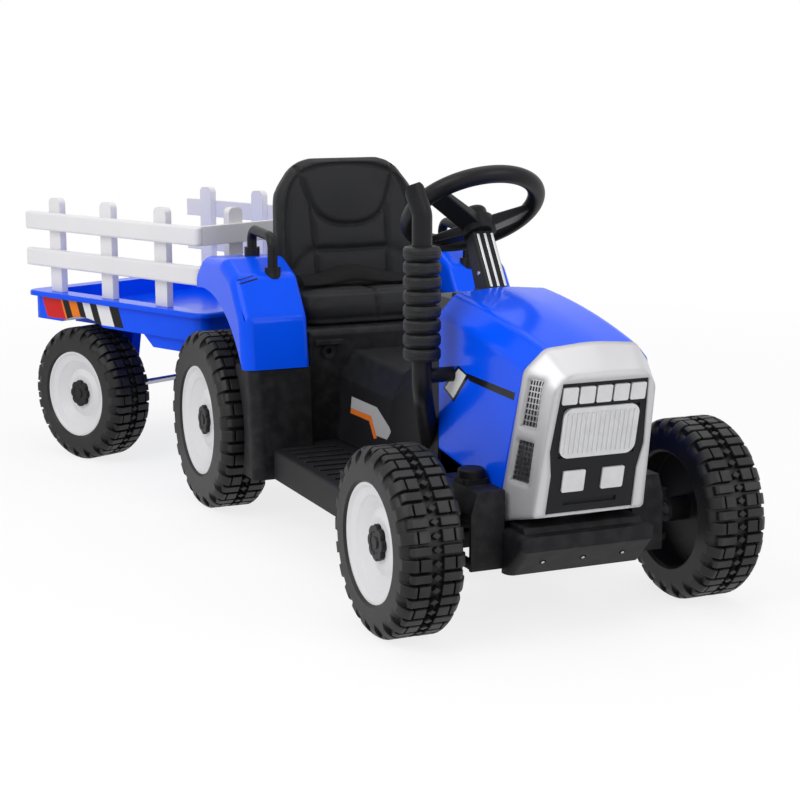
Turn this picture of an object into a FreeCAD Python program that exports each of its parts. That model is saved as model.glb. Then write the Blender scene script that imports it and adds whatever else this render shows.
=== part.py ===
import FreeCAD, Part
import math
import os
import Sketcher
from FreeCAD import Placement, Rotation, Vector

# Ride on tractor toy with a towed trailer. X points forward, Y to the left, Z up, in mm and degrees.
# Tractor pieces are drawn from the ground point under the rear axle, trailer pieces from the hitch,
# and both are then placed in the shared frame by the datum values.

SIZES = {
    # place of the rear axle's ground point in the shared frame
    "datum_x": -59.78,
    "datum_y": 61.9,
    # fits and common values
    "running_fit": 0.08,
    "body_gap": 0.4,
    "overrun": 8,
    "wall": 4,
    # running gear
    "wheelbase": 660,
    "front_tyre_radius": 110,
    "rear_tyre_radius": 129,
    "trailer_tyre_radius": 108,
    "front_rim_radius": 70,
    "rear_rim_radius": 79,
    "trailer_rim_radius": 69,
    "front_track_half": 234,
    "rear_track_half": 227,
    "trailer_track_half": 202,
    "axle_radius": 5,
    "axle_end": 9,
    "nut_radius": 10,
    "nut_height": 6,
    # tyre
    "tyre_width": 76,
    "tyre_bead": 3,
    "tyre_shoulder": 13,
    "lug_shoulder": 21,
    "lug_crown": 2,
    "lug_side": 1,
    "hub_radius": 15,
    "hub_inset": 28,
    "web_inset": 42,
    "web_depth": 5,
    "lug_count": 22,
    "lug_depth": 8,
    "lug_root": 14,
    "lug_gap": 2.4,
    "lug_square": 15,
    "lug_setback": 7,
    "knob_half": 5,
    "square_lug_share": 0.42,
    "long_lug_share": 0.3,
    "knob_share": 0.26,
    # rim and hub cap
    "rim_wall": 3,
    "rim_lip": 3,
    "rim_dish": 17,
    "rim_bowl_share": 0.56,
    "rim_step_share": 0.42,
    "rim_step_rise": 4,
    "rim_ring_share": 0.78,
    "rim_ring_dish_share": 0.4,
    "rim_ring_step": 1.6,
    "cap_radius": 19,
    "cap_seat": 12,
    "cap_rise": 5,
    "cap_plug_radius": 16.5,
    "cap_notch_count": 8,
    "cap_notch_radius": 4.6,
    # lower body with its foot steps
    "pan_bottom": 80,
    "pan_top": 120,
    "pan_rear": 95,
    "pan_rear_half": 114,
    "step_front": 505,
    "step_half": 179,
    "nose_half": 78,
    "pan_corner": 14,
    "pan_edge": 4,
    "tread_count": 9,
    "tread_pitch": 26,
    "tread_wide": 7,
    "tread_rise": 2,
    "tread_start": 205,
    "tread_inner": 92,
    "tread_margin": 12,
    # seat pedestal and fender legs
    "pedestal_front": 162,
    "pedestal_half": 116,
    "pedestal_top": 277,
    "pedestal_corner": 10,
    "leg_front_top": 176,
    "leg_front_foot": 186,
    "leg_rear": 112,
    "leg_outer": 203,
    "leg_foot": 76,
    "leg_top": 228,
    "leg_round": 16,
    "arch_clear": 16,
    "socket_y": 84,
    "socket_z": 246,
    "socket_radius": 10,
    "socket_bore": 4,
    "socket_proud": 4,
    "socket_lip_half": 20,
    "socket_lip_depth": 9,
    "socket_lip_high": 6,
    # fenders
    "fender_inner": 116.4,
    "fender_outer": 212,
    "fender_arch": 193,
    "fender_front": 178,
    "fender_brow_x": 168,
    "fender_brow_z": 298,
    "fender_crest_x": 128,
    "fender_crest_z": 352,
    "fender_top_x": 78,
    "fender_top_z": 372,
    "fender_back_x": -14,
    "fender_back_z": 366,
    "fender_tail_x": -46,
    "fender_tail_z": 340,
    "fender_bend": 26,
    "fender_edge": 17,
    "fender_inner_edge": 8,
    "fender_wall": 5,
    # grab handles
    "handle_y": 150,
    "handle_rear_x": 36,
    "handle_front_x": 122,
    "handle_rise": 36,
    "handle_tube": 7,
    "handle_bend": 16,
    "handle_foot": 11,
    "handle_foot_high": 5,
    # hood
    "hood_rear": 528,
    "hood_mid": 650,
    "hood_nose": 800,
    "hood_rear_half": 84,
    "hood_mid_half": 83,
    "hood_nose_half": 76,
    "hood_rear_foot": 178,
    "hood_mid_foot": 163,
    "hood_nose_foot": 144,
    "hood_rear_top": 370,
    "hood_mid_top": 355,
    "hood_nose_top": 321,
    "hood_crown": 5,
    "hood_shoulder_drop": 24,
    "hood_shoulder_in": 22,
    "hood_shoulder_round": 16,
    "hood_crown_round": 200,
    # grille bezel and panel, in the slanted plane of the grille
    "grille_lean": 12.3,
    "grille_foot_x": 751,
    "grille_foot_z": 146,
    "grille_high": 164,
    "grille_top_half": 60,
    "grille_waist_half": 66,
    "grille_waist_high": 78,
    "grille_neck_half": 55,
    "grille_neck_high": 48,
    "bezel_front_top_half": 64,
    "bezel_front_low_half": 71,
    "bezel_front_low": 3,
    "bezel_front_round": 17,
    "bezel_soft": 20,
    "bezel_top_margin": 4,
    "bezel_rear_top_x": 743,
    "bezel_rear_foot_x": 678,
    "bezel_rear_foot_z": 124,
    "bezel_wall": 6,
    "bezel_face": 7,
    "bezel_proud": 1,
    "panel_depth": 5,
    "panel_recess": 2,
    "panel_gap": 0.3,
    "lens_pocket": 2.5,
    "lens_proud": 2,
    "small_lens_wide": 19,
    "small_lens_high": 20,
    "small_lens_pitch": 21.5,
    "small_lens_low": 133,
    "main_lens_half": 48,
    "main_lens_low": 68,
    "main_lens_high": 60,
    "main_lens_round": 12,
    "main_lens_ribs": 15,
    "main_lens_rib_pitch": 6,
    "main_lens_rib": 1.4,
    "low_lamp_half": 14,
    "low_lamp_y": 25,
    "low_lamp_low": 26,
    "low_lamp_high": 26,
    "panel_slot_low": 9,
    "panel_slot_high": 6,
    "panel_slot_half": 34,
    # side mesh inserts of the bezel
    "mesh_margin": 9,
    "mesh_low": 34,
    "mesh_split_low": 86,
    "mesh_split_high": 102,
    "mesh_high": 160,
    "mesh_depth": 3,
    "mesh_bar": 1.6,
    "mesh_columns": 6,
    "mesh_rows": 9,
    # bumper and front axle housing
    "bumper_front": 757,
    "bumper_half": 87,
    "bumper_top": 123,
    "bumper_face_low": 106,
    "bumper_foot_x": 722,
    "bumper_foot_z": 71,
    "bumper_corner": 9,
    "bumper_ledge": 6,
    "bumper_ledge_half": 76,
    "bumper_ledge_setback": 10,
    "housing_rear": 604,
    "housing_front": 706,
    "housing_half": 126,
    "housing_foot": 76,
    "housing_side_top": 142,
    "housing_top": 168,
    "housing_top_half": 119,
    "housing_mid_top": 122,
    "housing_mid_roof": 112,
    "housing_roof": 132,
    "housing_step": 92,
    "housing_wall": 5,
    "housing_port_rear": 634,
    "housing_port_front": 696,
    "housing_port_half": 24,
    "yoke_half": 20,
    "yoke_reach": 152,
    "yoke_plate": 8,
    "yoke_low": 78,
    "yoke_root": 116,
    "filler_x": 655,
    "filler_y": 101.5,
    "filler_base": 16.5,
    "filler_base_high": 6,
    "filler_radius": 16,
    "filler_high": 11,
    # steering
    "kingpin_half": 140,
    "kingpin_radius": 5,
    "barrel_radius": 11,
    "knuckle_collar": 9,
    "arm_length": 32,
    "arm_low": 92,
    "arm_depth": 6,
    "arm_half": 6,
    "arm_pin": 4,
    "arm_pin_rise": 10,
    "rod_depth": 5,
    "rod_half": 8,
    "rod_pad_long": 14,
    "rod_pad_half": 12,
    "rod_slot_half": 7.5,
    "rod_play": 0.9,
    "fork_setback": 2,
    "fork_rear": 646,
    "fork_wall": 4,
    "fork_rise": 21,
    "wheel_x": 446,
    "wheel_z": 462,
    "column_lean": 36,
    "shaft_radius": 6,
    "shaft_length": 384,
    "crank_radius": 24,
    "crank_depth": 8,
    "crank_pin": 4,
    "crank_pin_reach": 26,
    "rim_ring_radius": 82,
    "rim_tube": 11,
    "wheel_dish": 26,
    "wheel_hub_radius": 21,
    "wheel_hub_high": 20,
    "spoke_half": 13,
    "spoke_depth": 9,
    "spoke_turn": 18,
    "spoke_spread": 103,
    "pad_radius": 16,
    "pad_travel": 3,
    "pad_rise": 16,
    "pad_dome": 6,
    "pad_plug": 8,
    "shaft_socket": 6,
    "column_top_along": 37.5,
    "column_top_half": 15,
    "column_top_deep": 16,
    "column_base_half": 18,
    "column_base_rear": 474,
    "column_base_front": 527,
    "column_bore": 7.5,
    "column_corner": 9,
    # dash and centre cover
    "dash_top": 360,
    "dash_rear": 438,
    "dash_top_rear": 450,
    "dash_brow_z": 346,
    "dash_foot_x": 462,
    "dash_foot": 300,
    "dash_half": 80,
    "dash_edge": 7,
    "button_x": 488,
    "button_y": 38,
    "button_radius": 9,
    "button_proud": 5,
    "button_travel": 3,
    "rocker_long": 24,
    "rocker_wide": 15,
    "rocker_proud": 2.5,
    "rocker_deep": 4,
    "well_gap": 0.6,
    "rocker_pin": 1.5,
    "cover_rear_half": 66,
    "cover_rear_top": 246,
    "cover_low_x": 330,
    "cover_low_half": 60,
    "cover_low_top": 240,
    "cover_foot_flare": 8,
    "cover_shoulder": 18,
    # exhaust
    "exhaust_x": 566,
    "exhaust_y": 124,
    "exhaust_pipe": 12,
    "exhaust_bore": 9.5,
    "exhaust_foot_x": 486,
    "exhaust_foot_z": 178,
    "exhaust_knee_z": 262,
    "exhaust_knee_round": 46,
    "exhaust_bend_z": 470,
    "exhaust_bend_round": 24,
    "exhaust_tip_out": 11,
    "exhaust_tip_z": 506,
    "exhaust_mitre": 52,
    "exhaust_stub": 9,
    "exhaust_stub_z": 279,
    "bellows_low": 298,
    "bellows_high": 434,
    "bellows_ribs": 8,
    "bellows_radius": 22.5,
    "bellows_groove": 17,
    "bellows_shoulder_share": 0.12,
    # seat
    "seat_half": 116,
    "cushion_rear": 44,
    "cushion_front": 146,
    "cushion_high": 50,
    "cushion_draw": 6,
    "cushion_crown": 20,
    "cushion_corner": 26,
    "seam_deep": 3,
    "cushion_seam_x": 112,
    "back_foot_x": 69,
    "back_lean": 11,
    "back_high": 236,
    "back_depth": 42,
    "back_top_half": 74,
    "back_shoulder_half": 110,
    "back_shoulder_high": 186,
    "back_top_round": 54,
    "back_waist_high": 80,
    "back_foot_half": 100,
    "back_draw": 9,
    "back_roll": 12,
    "back_corner": 34,
    "channel_low": 57,
    "channel_high": 100,
    "channel_half": 74,
    "belt_wide": 36,
    "belt_depth": 2,
    "belt_half": 96,
    # drive inside the body
    "gearbox_depth": 28,
    "gearbox_axle_round": 30,
    "gearbox_motor_round": 25,
    "motor_x": 64,
    "motor_z": 152,
    "motor_radius": 17,
    "motor_long": 56,
    "battery_rear": 24,
    "battery_front": 150,
    "battery_half": 46,
    "battery_high": 92,
    "battery_terminal": 5,
    # tow bracket
    "hitch_offset": 175,
    "bracket_plate": 4,
    "bracket_half": 22,
    "bracket_root_half": 38,
    "bracket_low": 92,
    "bracket_gap": 16,
    "bracket_overhang": 18,
    "hitch_pin": 5,
    "hitch_pin_head": 9,
    "hitch_pin_head_high": 6,
    "hitch_pin_tail": 9,
    # pedal
    "pedal_x": 418,
    "pedal_y": 138,
    "pedal_z": 131,
    "pedal_half": 24,
    "pedal_long": 66,
    "pedal_depth": 6,
    "pedal_rise": 22,
    "pedal_barrel": 6,
    "pedal_pin": 3,
    "pedal_ear": 5,
    # trailer, from the hitch
    "trailer_turn": 24,
    "bed_front": 27,
    "bed_rear": 452,
    "bed_half": 180,
    "bed_rim_out": 8,
    "bed_rim_wide": 33,
    "bed_rim_high": 8,
    "bed_top": 266,
    "bed_floor": 238,
    "bed_foot": 220,
    "bed_corner": 22,
    "bed_rim_round": 3.5,
    "belly_half": 112,
    "belly_foot": 208,
    "belly_front": 60,
    "belly_rear": 425,
    "apron_rear": 186,
    "apron_front": 44,
    "apron_half": 172,
    "apron_foot": 200,
    "apron_slope": 34,
    "keel_rear": 196,
    "keel_front": 108,
    "keel_half": 22,
    "keel_foot": 90,
    "keel_top_rear": 236,
    "keel_top_front": 66,
    "trailer_axle": 318,
    "axle_leg_half": 22,
    "axle_leg_inner": 92,
    "axle_leg_outer": 110,
    "axle_leg_low": 14,
    "drawbar_radius": 6.5,
    "drawbar_bore": 60,
    "eye_radius": 14,
    "eye_depth": 14,
    "fence_front": 33,
    "fence_rear": 458,
    "fence_post_top": 420,
    "fence_post_wide": 28,
    "fence_post_depth": 12,
    "fence_post_face": 171,
    "fence_rail_depth": 11,
    "fence_rail_high": 29,
    "fence_top_rail": 367,
    "fence_low_rail": 307,
    "fence_first_post": 131,
    "fence_post_pitch": 132,
    "fence_front_post": 92,
    "fence_round": 4,
    "fence_corner": 9,
}

doc = FreeCAD.newDocument("RideOnTractor")
sheet = doc.addObject("Spreadsheet::Sheet", "Sizes")
for row, (alias, value) in enumerate(SIZES.items(), start=1):
    sheet.set(f"A{row}", alias)
    sheet.set(f"B{row}", str(value))
    sheet.setAlias(f"B{row}", alias)
doc.recompute()

TOUCH = 0.01
X_AXIS = Vector(1, 0, 0)
Y_AXIS = Vector(0, 1, 0)
Z_AXIS = Vector(0, 0, 1)
nodes = []


def text_of(value):
    return value.text if isinstance(value, Size) else repr(float(value))


class Size:
    """A value read from the sheet, together with the expression that leads to it."""

    def __init__(self, value, text):
        self.value = float(value)
        self.text = text

    def __float__(self):
        return self.value

    def __add__(self, other):
        return Size(self.value + float(other), f"({self.text} + {text_of(other)})")

    def __radd__(self, other):
        return Size(float(other) + self.value, f"({text_of(other)} + {self.text})")

    def __sub__(self, other):
        return Size(self.value - float(other), f"({self.text} - {text_of(other)})")

    def __rsub__(self, other):
        return Size(float(other) - self.value, f"({text_of(other)} - {self.text})")

    def __mul__(self, other):
        return Size(self.value * float(other), f"({self.text} * {text_of(other)})")

    def __rmul__(self, other):
        return Size(float(other) * self.value, f"({text_of(other)} * {self.text})")

    def __truediv__(self, other):
        return Size(self.value / float(other), f"({self.text} / {text_of(other)})")

    def __neg__(self):
        return Size(-self.value, f"(-1 * {self.text})")


class SheetValues:
    def __getattr__(self, alias):
        return Size(sheet.get(alias), f"Sizes.{alias}")


S = SheetValues()
NOUGHT = Size(0, "0")


def sine(angle):
    return Size(math.sin(math.radians(float(angle))), f"sin({text_of(angle)} * 1 deg)")


def cosine(angle):
    return Size(math.cos(math.radians(float(angle))), f"cos({text_of(angle)} * 1 deg)")


def vec(x=0, y=0, z=0):
    return Vector(float(x), float(y), float(z))


def bind(item, path, value):
    if isinstance(value, Size):
        item.setExpression(path, value.text)


def keep(item, label):
    """Give the piece its name and count it among the nodes that are written out."""
    item.Label = label
    nodes.append(item)
    return item


def place_tractor(item, x=0, y=0, z=0):
    bind(item, "Placement.Base.x", S.datum_x + x)
    bind(item, "Placement.Base.y", S.datum_y + y)
    bind(item, "Placement.Base.z", z)


def place_trailer(item, x=0, y=0, z=0):
    turn = S.trailer_turn
    item.Placement = Placement(Vector(), Rotation(Z_AXIS, float(turn)))
    bind(item, "Placement.Rotation.Angle", turn)
    bind(item, "Placement.Base.x", S.datum_x - S.hitch_offset + cosine(turn) * x - sine(turn) * y)
    bind(item, "Placement.Base.y", S.datum_y + sine(turn) * x + cosine(turn) * y)
    bind(item, "Placement.Base.z", z)


def place_leaning(item):
    """Put a piece drawn flat in the grille's own plane on the slanted front of the bezel."""
    lean = math.radians(float(S.grille_lean))
    across = Y_AXIS
    upward = Vector(math.sin(lean), 0, math.cos(lean))
    outward = across.cross(upward)
    item.Placement = Placement(Vector(), Rotation(across, upward, outward, "ZXY"))
    place_tractor(item, S.grille_foot_x, 0, S.grille_foot_z)


def place_steering(item):
    """Put a piece drawn round the Z axis on the steering column's axis."""
    item.Placement = Placement(Vector(), Rotation(Y_AXIS, -float(S.column_lean)))
    place_tractor(item, S.wheel_x, 0, S.wheel_z)


def new_body(label, put=place_tractor):
    body = keep(doc.addObject("PartDesign::Body", label), label)
    put(body)
    return body


def origin_item(body, role):
    return next(item for item in body.Origin.OriginFeatures if item.Role == role)


def pin(sketch, kind, geometry, point, value, rules):
    """Tie one coordinate of a sketch point to the sheet, or to the axis where it is a plain 0."""
    if isinstance(value, Size):
        rules.append((Sketcher.Constraint(kind, -1, 1, geometry, point, float(value)), value.text))
    else:
        axis = -2 if kind == "DistanceX" else -1
        rules.append((Sketcher.Constraint("PointOnObject", geometry, point, axis), None))


def draw_polygon(sketch, points, rules):
    first = sketch.GeometryCount
    count = len(points)
    for i in range(count):
        start = vec(*points[i])
        end = vec(*points[(i + 1) % count])
        sketch.addGeometry(Part.LineSegment(start, end), False)
    for i in range(count):
        following = first + (i + 1) % count
        rules.append((Sketcher.Constraint("Coincident", first + i, 2, following, 1), None))
    for i, (across, up) in enumerate(points):
        pin(sketch, "DistanceX", first + i, 1, across, rules)
        pin(sketch, "DistanceY", first + i, 1, up, rules)


def draw_circle(sketch, across, up, radius, rules):
    index = sketch.GeometryCount
    sketch.addGeometry(Part.Circle(vec(across, up), Z_AXIS, float(radius)), False)
    pin(sketch, "DistanceX", index, 3, across, rules)
    pin(sketch, "DistanceY", index, 3, up, rules)
    rules.append((Sketcher.Constraint("Radius", index, float(radius)), radius.text))


def new_sketch(body, role, loops, offset=0):
    """Sketch on an origin plane of the body: a loop of points is a polygon, of three sizes a circle."""
    sketch = body.newObject("Sketcher::SketchObject", "Outline")
    sketch.AttachmentSupport = [(origin_item(body, role), "")]
    sketch.MapMode = "FlatFace"
    bind(sketch, "AttachmentOffset.Base.z", offset)
    rules = []
    for loop in loops:
        if isinstance(loop[0], tuple):
            draw_polygon(sketch, loop, rules)
        else:
            draw_circle(sketch, *loop, rules)
    sketch.addConstraint([rule for rule, text in rules])
    for index, (rule, text) in enumerate(rules):
        if text:
            sketch.setExpression(f"Constraints[{index}]", text)
    return sketch


def extrude(body, kind, sketch, length):
    feature = body.newObject(f"PartDesign::{kind}", kind)
    feature.Profile = sketch
    bind(feature, "Length", length)
    doc.recompute()
    return feature


def pad(body, role, loops, start, length):
    """Add material from the plane at start, along the plane's own normal (XZ runs towards -Y)."""
    return extrude(body, "Pad", new_sketch(body, role, loops, start), length)


def pocket(body, role, loops, start, length):
    """Cut material from the plane at start, against the plane's own normal."""
    return extrude(body, "Pocket", new_sketch(body, role, loops, start), length)


def revolve(body, points):
    """Turn a profile of radius and height round the body's Y axis."""
    sketch = new_sketch(body, "XY_Plane", [points])
    feature = body.newObject("PartDesign::Revolution", "Revolution")
    feature.Profile = sketch
    feature.ReferenceAxis = (origin_item(body, "Y_Axis"), [""])
    feature.Angle = 360
    doc.recompute()
    return feature


def draw_shoulder(sketch, radius, half, round_radius, side, rules):
    """Outline of what stands outside a rounded shoulder on one side of a wheel."""
    first = sketch.GeometryCount
    low = radius - round_radius
    edge = (half - round_radius) * side
    beyond = (half + S.overrun) * side
    points = [
        (low, half * side), (low, beyond), (radius + S.overrun, beyond), (radius + S.overrun, edge), (radius, edge)]
    last = first + len(points) - 2
    for begin, finish in zip(points[:-1], points[1:]):
        sketch.addGeometry(Part.LineSegment(vec(*begin), vec(*finish)), False)
    for index, (across, up) in enumerate(points[:-1], start=first):
        pin(sketch, "DistanceX", index, 1, across, rules)
        pin(sketch, "DistanceY", index, 1, up, rules)
    for index in range(first, last):
        rules.append((Sketcher.Constraint("Coincident", index, 2, index + 1, 1), None))
    pin(sketch, "DistanceX", last, 2, radius, rules)
    pin(sketch, "DistanceY", last, 2, edge, rules)
    ring = Part.Circle(vec(low, edge), Z_AXIS, float(round_radius))
    quarter = (0, math.pi / 2) if side > 0 else (-math.pi / 2, 0)
    arc = sketch.addGeometry(Part.ArcOfCircle(ring, *quarter), False)
    outer, inner = (1, 2) if side > 0 else (2, 1)
    rules.append((Sketcher.Constraint("Coincident", arc, outer, last, 2), None))
    rules.append((Sketcher.Constraint("Coincident", arc, inner, first, 1), None))
    rules.append((Sketcher.Constraint("Radius", arc, float(round_radius)), round_radius.text))


def round_shoulders(body, radius, half, round_radius):
    """Turn away what stands outside the rounded shoulders of a wheel round the Y axis."""
    sketch = body.newObject("Sketcher::SketchObject", "Shoulders")
    sketch.AttachmentSupport = [(origin_item(body, "XY_Plane"), "")]
    sketch.MapMode = "FlatFace"
    rules = []
    for side in (-1, 1):
        draw_shoulder(sketch, radius, half, round_radius, side, rules)
    sketch.addConstraint([rule for rule, text in rules])
    for index, (rule, text) in enumerate(rules):
        if text:
            sketch.setExpression(f"Constraints[{index}]", text)
    feature = body.newObject("PartDesign::Groove", "Groove")
    feature.Profile = sketch
    feature.ReferenceAxis = (origin_item(body, "Y_Axis"), [""])
    feature.Angle = 360
    doc.recompute()
    return feature


def polar(body, originals, role, count):
    feature = body.newObject("PartDesign::PolarPattern", "PolarPattern")
    feature.Originals = originals
    feature.Axis = (origin_item(body, role), [""])
    feature.Angle = 360
    bind(feature, "Occurrences", count)
    body.Tip = feature
    doc.recompute()
    return feature


def row_of(body, originals, role, pitch, count):
    feature = body.newObject("PartDesign::LinearPattern", "LinearPattern")
    feature.Originals = originals
    feature.Direction = (origin_item(body, role), [""])
    bind(feature, "Length", pitch * (count - 1))
    bind(feature, "Occurrences", count)
    body.Tip = feature
    doc.recompute()
    return feature


def fillet(body, radius, chooser):
    base = body.Tip
    names = [f"Edge{i}" for i, edge in enumerate(base.Shape.Edges, start=1) if chooser(edge)]
    feature = body.newObject("PartDesign::Fillet", "Fillet")
    feature.Base = (base, names)
    bind(feature, "Radius", radius)
    doc.recompute()
    return feature


def near(one, other):
    return abs(float(one) - float(other)) < TOUCH


def runs_along(edge, axis):
    if edge.Curve.TypeId != "Part::GeomLine":
        return False
    return abs(abs(edge.Curve.Direction.dot(axis)) - 1) < TOUCH


def is_ring(edge, radius):
    return edge.Curve.TypeId == "Part::GeomCircle" and near(edge.Curve.Radius, radius)


def mirror_tractor(label, source):
    item = doc.addObject("Part::Mirroring", label)
    item.Source = source
    item.Normal = Y_AXIS
    bind(item, "Base.y", S.datum_y)
    return keep(item, label)


def mirror_trailer(label, source):
    item = doc.addObject("Part::Mirroring", label)
    item.Source = source
    turn = math.radians(float(S.trailer_turn))
    item.Normal = Vector(-math.sin(turn), math.cos(turn), 0)
    bind(item, "Base.x", S.datum_x - S.hitch_offset)
    bind(item, "Base.y", S.datum_y)
    return keep(item, label)


def feature_of(label, shape):
    item = doc.addObject("Part::Feature", label)
    item.Shape = shape
    return keep(item, label)


def rounded_wire(points, radii):
    """Closed wire through the points, with an arc of its radius at each corner."""
    count = len(points)
    arcs = []
    for i, corner in enumerate(points):
        back = (points[i - 1] - corner).normalize()
        ahead = (points[(i + 1) % count] - corner).normalize()
        half = back.getAngle(ahead) / 2
        radius = float(radii[i])
        reach = radius / math.tan(half)
        inward = (back + ahead).normalize()
        middle = corner + inward * (radius / math.sin(half) - radius)
        arcs.append((corner + back * reach, middle, corner + ahead * reach))
    edges = []
    for i, (start, middle, end) in enumerate(arcs):
        edges.append(Part.Arc(start, middle, end).toShape())
        edges.append(Part.makeLine(end, arcs[(i + 1) % count][0]))
    return Part.Wire(edges)


def rounded_path(points, radii):
    """Open wire through the points, with an arc of its radius at each inner corner."""
    edges = []
    start = points[0]
    for i in range(1, len(points) - 1):
        corner = points[i]
        back = (points[i - 1] - corner).normalize()
        ahead = (points[i + 1] - corner).normalize()
        half = back.getAngle(ahead) / 2
        radius = float(radii[i - 1])
        reach = radius / math.tan(half)
        inward = (back + ahead).normalize()
        middle = corner + inward * (radius / math.sin(half) - radius)
        edges.append(Part.makeLine(start, corner + back * reach))
        edges.append(Part.Arc(corner + back * reach, middle, corner + ahead * reach).toShape())
        start = corner + ahead * reach
    edges.append(Part.makeLine(start, points[-1]))
    return Part.Wire(edges)


def tube_along(points, radii, radius):
    path = rounded_path(points, radii)
    ring = Part.Wire(Part.makeCircle(float(radius), points[0], points[1] - points[0]))
    return path.makePipeShell([ring], True, False)


def block(x_low, x_high, y_low, y_high, z_low, z_high):
    corner = vec(x_low, y_low, z_low)
    return Part.makeBox(
        float(x_high - x_low), float(y_high - y_low), float(z_high - z_low), corner)


def rod_y(radius, x, z, y_low, y_high):
    return Part.makeCylinder(float(radius), float(y_high - y_low), vec(x, y_low, z), Y_AXIS)


def rod_z(radius, x, y, z_low, z_high):
    return Part.makeCylinder(float(radius), float(z_high - z_low), vec(x, y, z_low), Z_AXIS)


# Wheels, drawn round the Y axis with the outer side towards -Y

def lug_sketch(body, loops, carcass, angle):
    """Sketch of the lugs in the plane that touches the carcass at the given angle."""
    offset = carcass - S.lug_root
    sketch = new_sketch(body, "YZ_Plane", loops)
    sketch.AttachmentOffset = Placement(Vector(), Rotation(X_AXIS, float(angle)))
    bind(sketch, "AttachmentOffset.Rotation.Angle", angle)
    bind(sketch, "AttachmentOffset.Base.y", -(sine(angle) * offset))
    bind(sketch, "AttachmentOffset.Base.z", cosine(angle) * offset)
    return sketch


def make_tyre(label, radius, rim_radius, put):
    body = new_body(label, put)
    half = S.tyre_width / 2
    carcass = radius - S.lug_depth
    bore = S.axle_radius + S.running_fit
    web_outer = S.web_inset - half
    web_inner = web_outer + S.web_depth
    hub_outer = S.hub_inset - half
    bead = rim_radius + S.tyre_bead
    revolve(body, [
        (rim_radius, web_outer),
        (rim_radius, S.tyre_bead - half),
        (bead, -half),
        (carcass, -half),
        (carcass, half),
        (bead, half),
        (rim_radius, half - S.tyre_bead),
        (rim_radius, web_inner),
        (S.hub_radius, web_inner),
        (S.hub_radius, half),
        (bore, half),
        (bore, hub_outer),
        (S.hub_radius, hub_outer),
        (S.hub_radius, web_outer),
    ])
    fillet(body, S.tyre_shoulder, lambda edge: is_ring(edge, carcass))
    pitch = radius * (2 * math.pi) / S.lug_count
    square = pitch * S.square_lug_share / 2
    long_half = pitch * S.long_lug_share / 2
    knob = pitch * S.knob_share / 2
    block_end = S.knob_half + S.lug_gap
    block_start = half - S.lug_square - S.lug_gap

    def bar(low, high, side, width):
        return [(low * side, -width), (high * side, -width), (high * side, width), (low * side, width)]

    knob_loop = [
        (-S.knob_half, 0), (0, -knob), (S.knob_half, 0), (0, knob)]
    first = [knob_loop]
    second = [knob_loop]
    for side in (-1, 1):
        first.append(bar(half - S.lug_square, half, side, square))
        first.append(bar(block_end, block_start, side, square))
        second.append(bar(block_end, half - S.lug_setback, side, long_half))
    height = S.lug_depth + S.lug_root
    first_pad = extrude(body, "Pad", lug_sketch(body, first, carcass, NOUGHT), height)
    polar(body, [first_pad], "Y_Axis", S.lug_count)
    half_step = Size(180, "180") / S.lug_count
    second_pad = extrude(body, "Pad", lug_sketch(body, second, carcass, half_step), height)
    polar(body, [second_pad], "Y_Axis", S.lug_count)
    round_shoulders(body, radius + S.lug_crown, half + S.lug_side, S.lug_shoulder)
    return body


def make_rim(label, rim_radius, put):
    body = new_body(label, put)
    half = S.tyre_width / 2
    face = S.tyre_bead - half
    bowl = rim_radius * S.rim_bowl_share
    step = rim_radius * S.rim_step_share
    bowl_y = face + S.rim_dish
    step_y = bowl_y - S.rim_step_rise
    seat_y = face + S.cap_seat
    tube = S.cap_plug_radius
    ring = rim_radius * S.rim_ring_share
    ring_y = face + S.rim_dish * S.rim_ring_dish_share
    revolve(body, [
        (rim_radius, face),
        (rim_radius, face + S.rim_lip + S.rim_wall),
        (rim_radius - S.rim_lip, face + S.rim_lip + S.rim_wall),
        (bowl + S.rim_wall, bowl_y + S.rim_wall),
        (step, bowl_y + S.rim_wall),
        (tube + S.rim_wall, bowl_y + S.rim_wall),
        (tube + S.rim_wall, S.hub_inset - half),
        (S.hub_radius - S.rim_wall, S.hub_inset - half),
        (S.hub_radius - S.rim_wall, S.hub_inset - half - S.rim_wall),
        (tube, S.hub_inset - half - S.rim_wall),
        (tube, seat_y),
        (S.cap_radius + S.rim_wall, seat_y),
        (S.cap_radius + S.rim_wall, step_y),
        (step, step_y),
        (bowl, bowl_y),
        (ring - S.rim_ring_step, ring_y + S.rim_ring_step),
        (ring, ring_y),
        (rim_radius - S.rim_lip - S.rim_wall, face + S.rim_wall),
        (rim_radius - S.rim_lip, face),
    ])
    return body


def make_cap(label, put):
    body = new_body(label, put)
    half = S.tyre_width / 2
    seat_y = S.tyre_bead - half + S.cap_seat
    face_y = seat_y - S.cap_rise
    revolve(body, [
        (0, face_y),
        (S.cap_radius - S.rim_wall, face_y),
        (S.cap_radius, face_y + S.rim_wall),
        (S.cap_radius, seat_y),
        (S.cap_plug_radius, seat_y),
        (S.cap_plug_radius, seat_y + S.rim_wall),
        (0, seat_y + S.rim_wall),
    ])
    notch = pocket(
        body, "XZ_Plane", [(S.cap_radius, 0, S.cap_notch_radius)], -seat_y, S.cap_rise + S.overrun)
    polar(body, [notch], "Y_Axis", S.cap_notch_count)
    return body


def make_wheel(name, radius, rim_radius, put):
    """Tyre, rim and hub cap of the right-hand wheel of one axle."""
    return [
        make_tyre(f"tyre_{name}_right", radius, rim_radius, put),
        make_rim(f"rim_{name}_right", rim_radius, put),
        make_cap(f"hub_cap_{name}_right", put),
    ]


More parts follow.
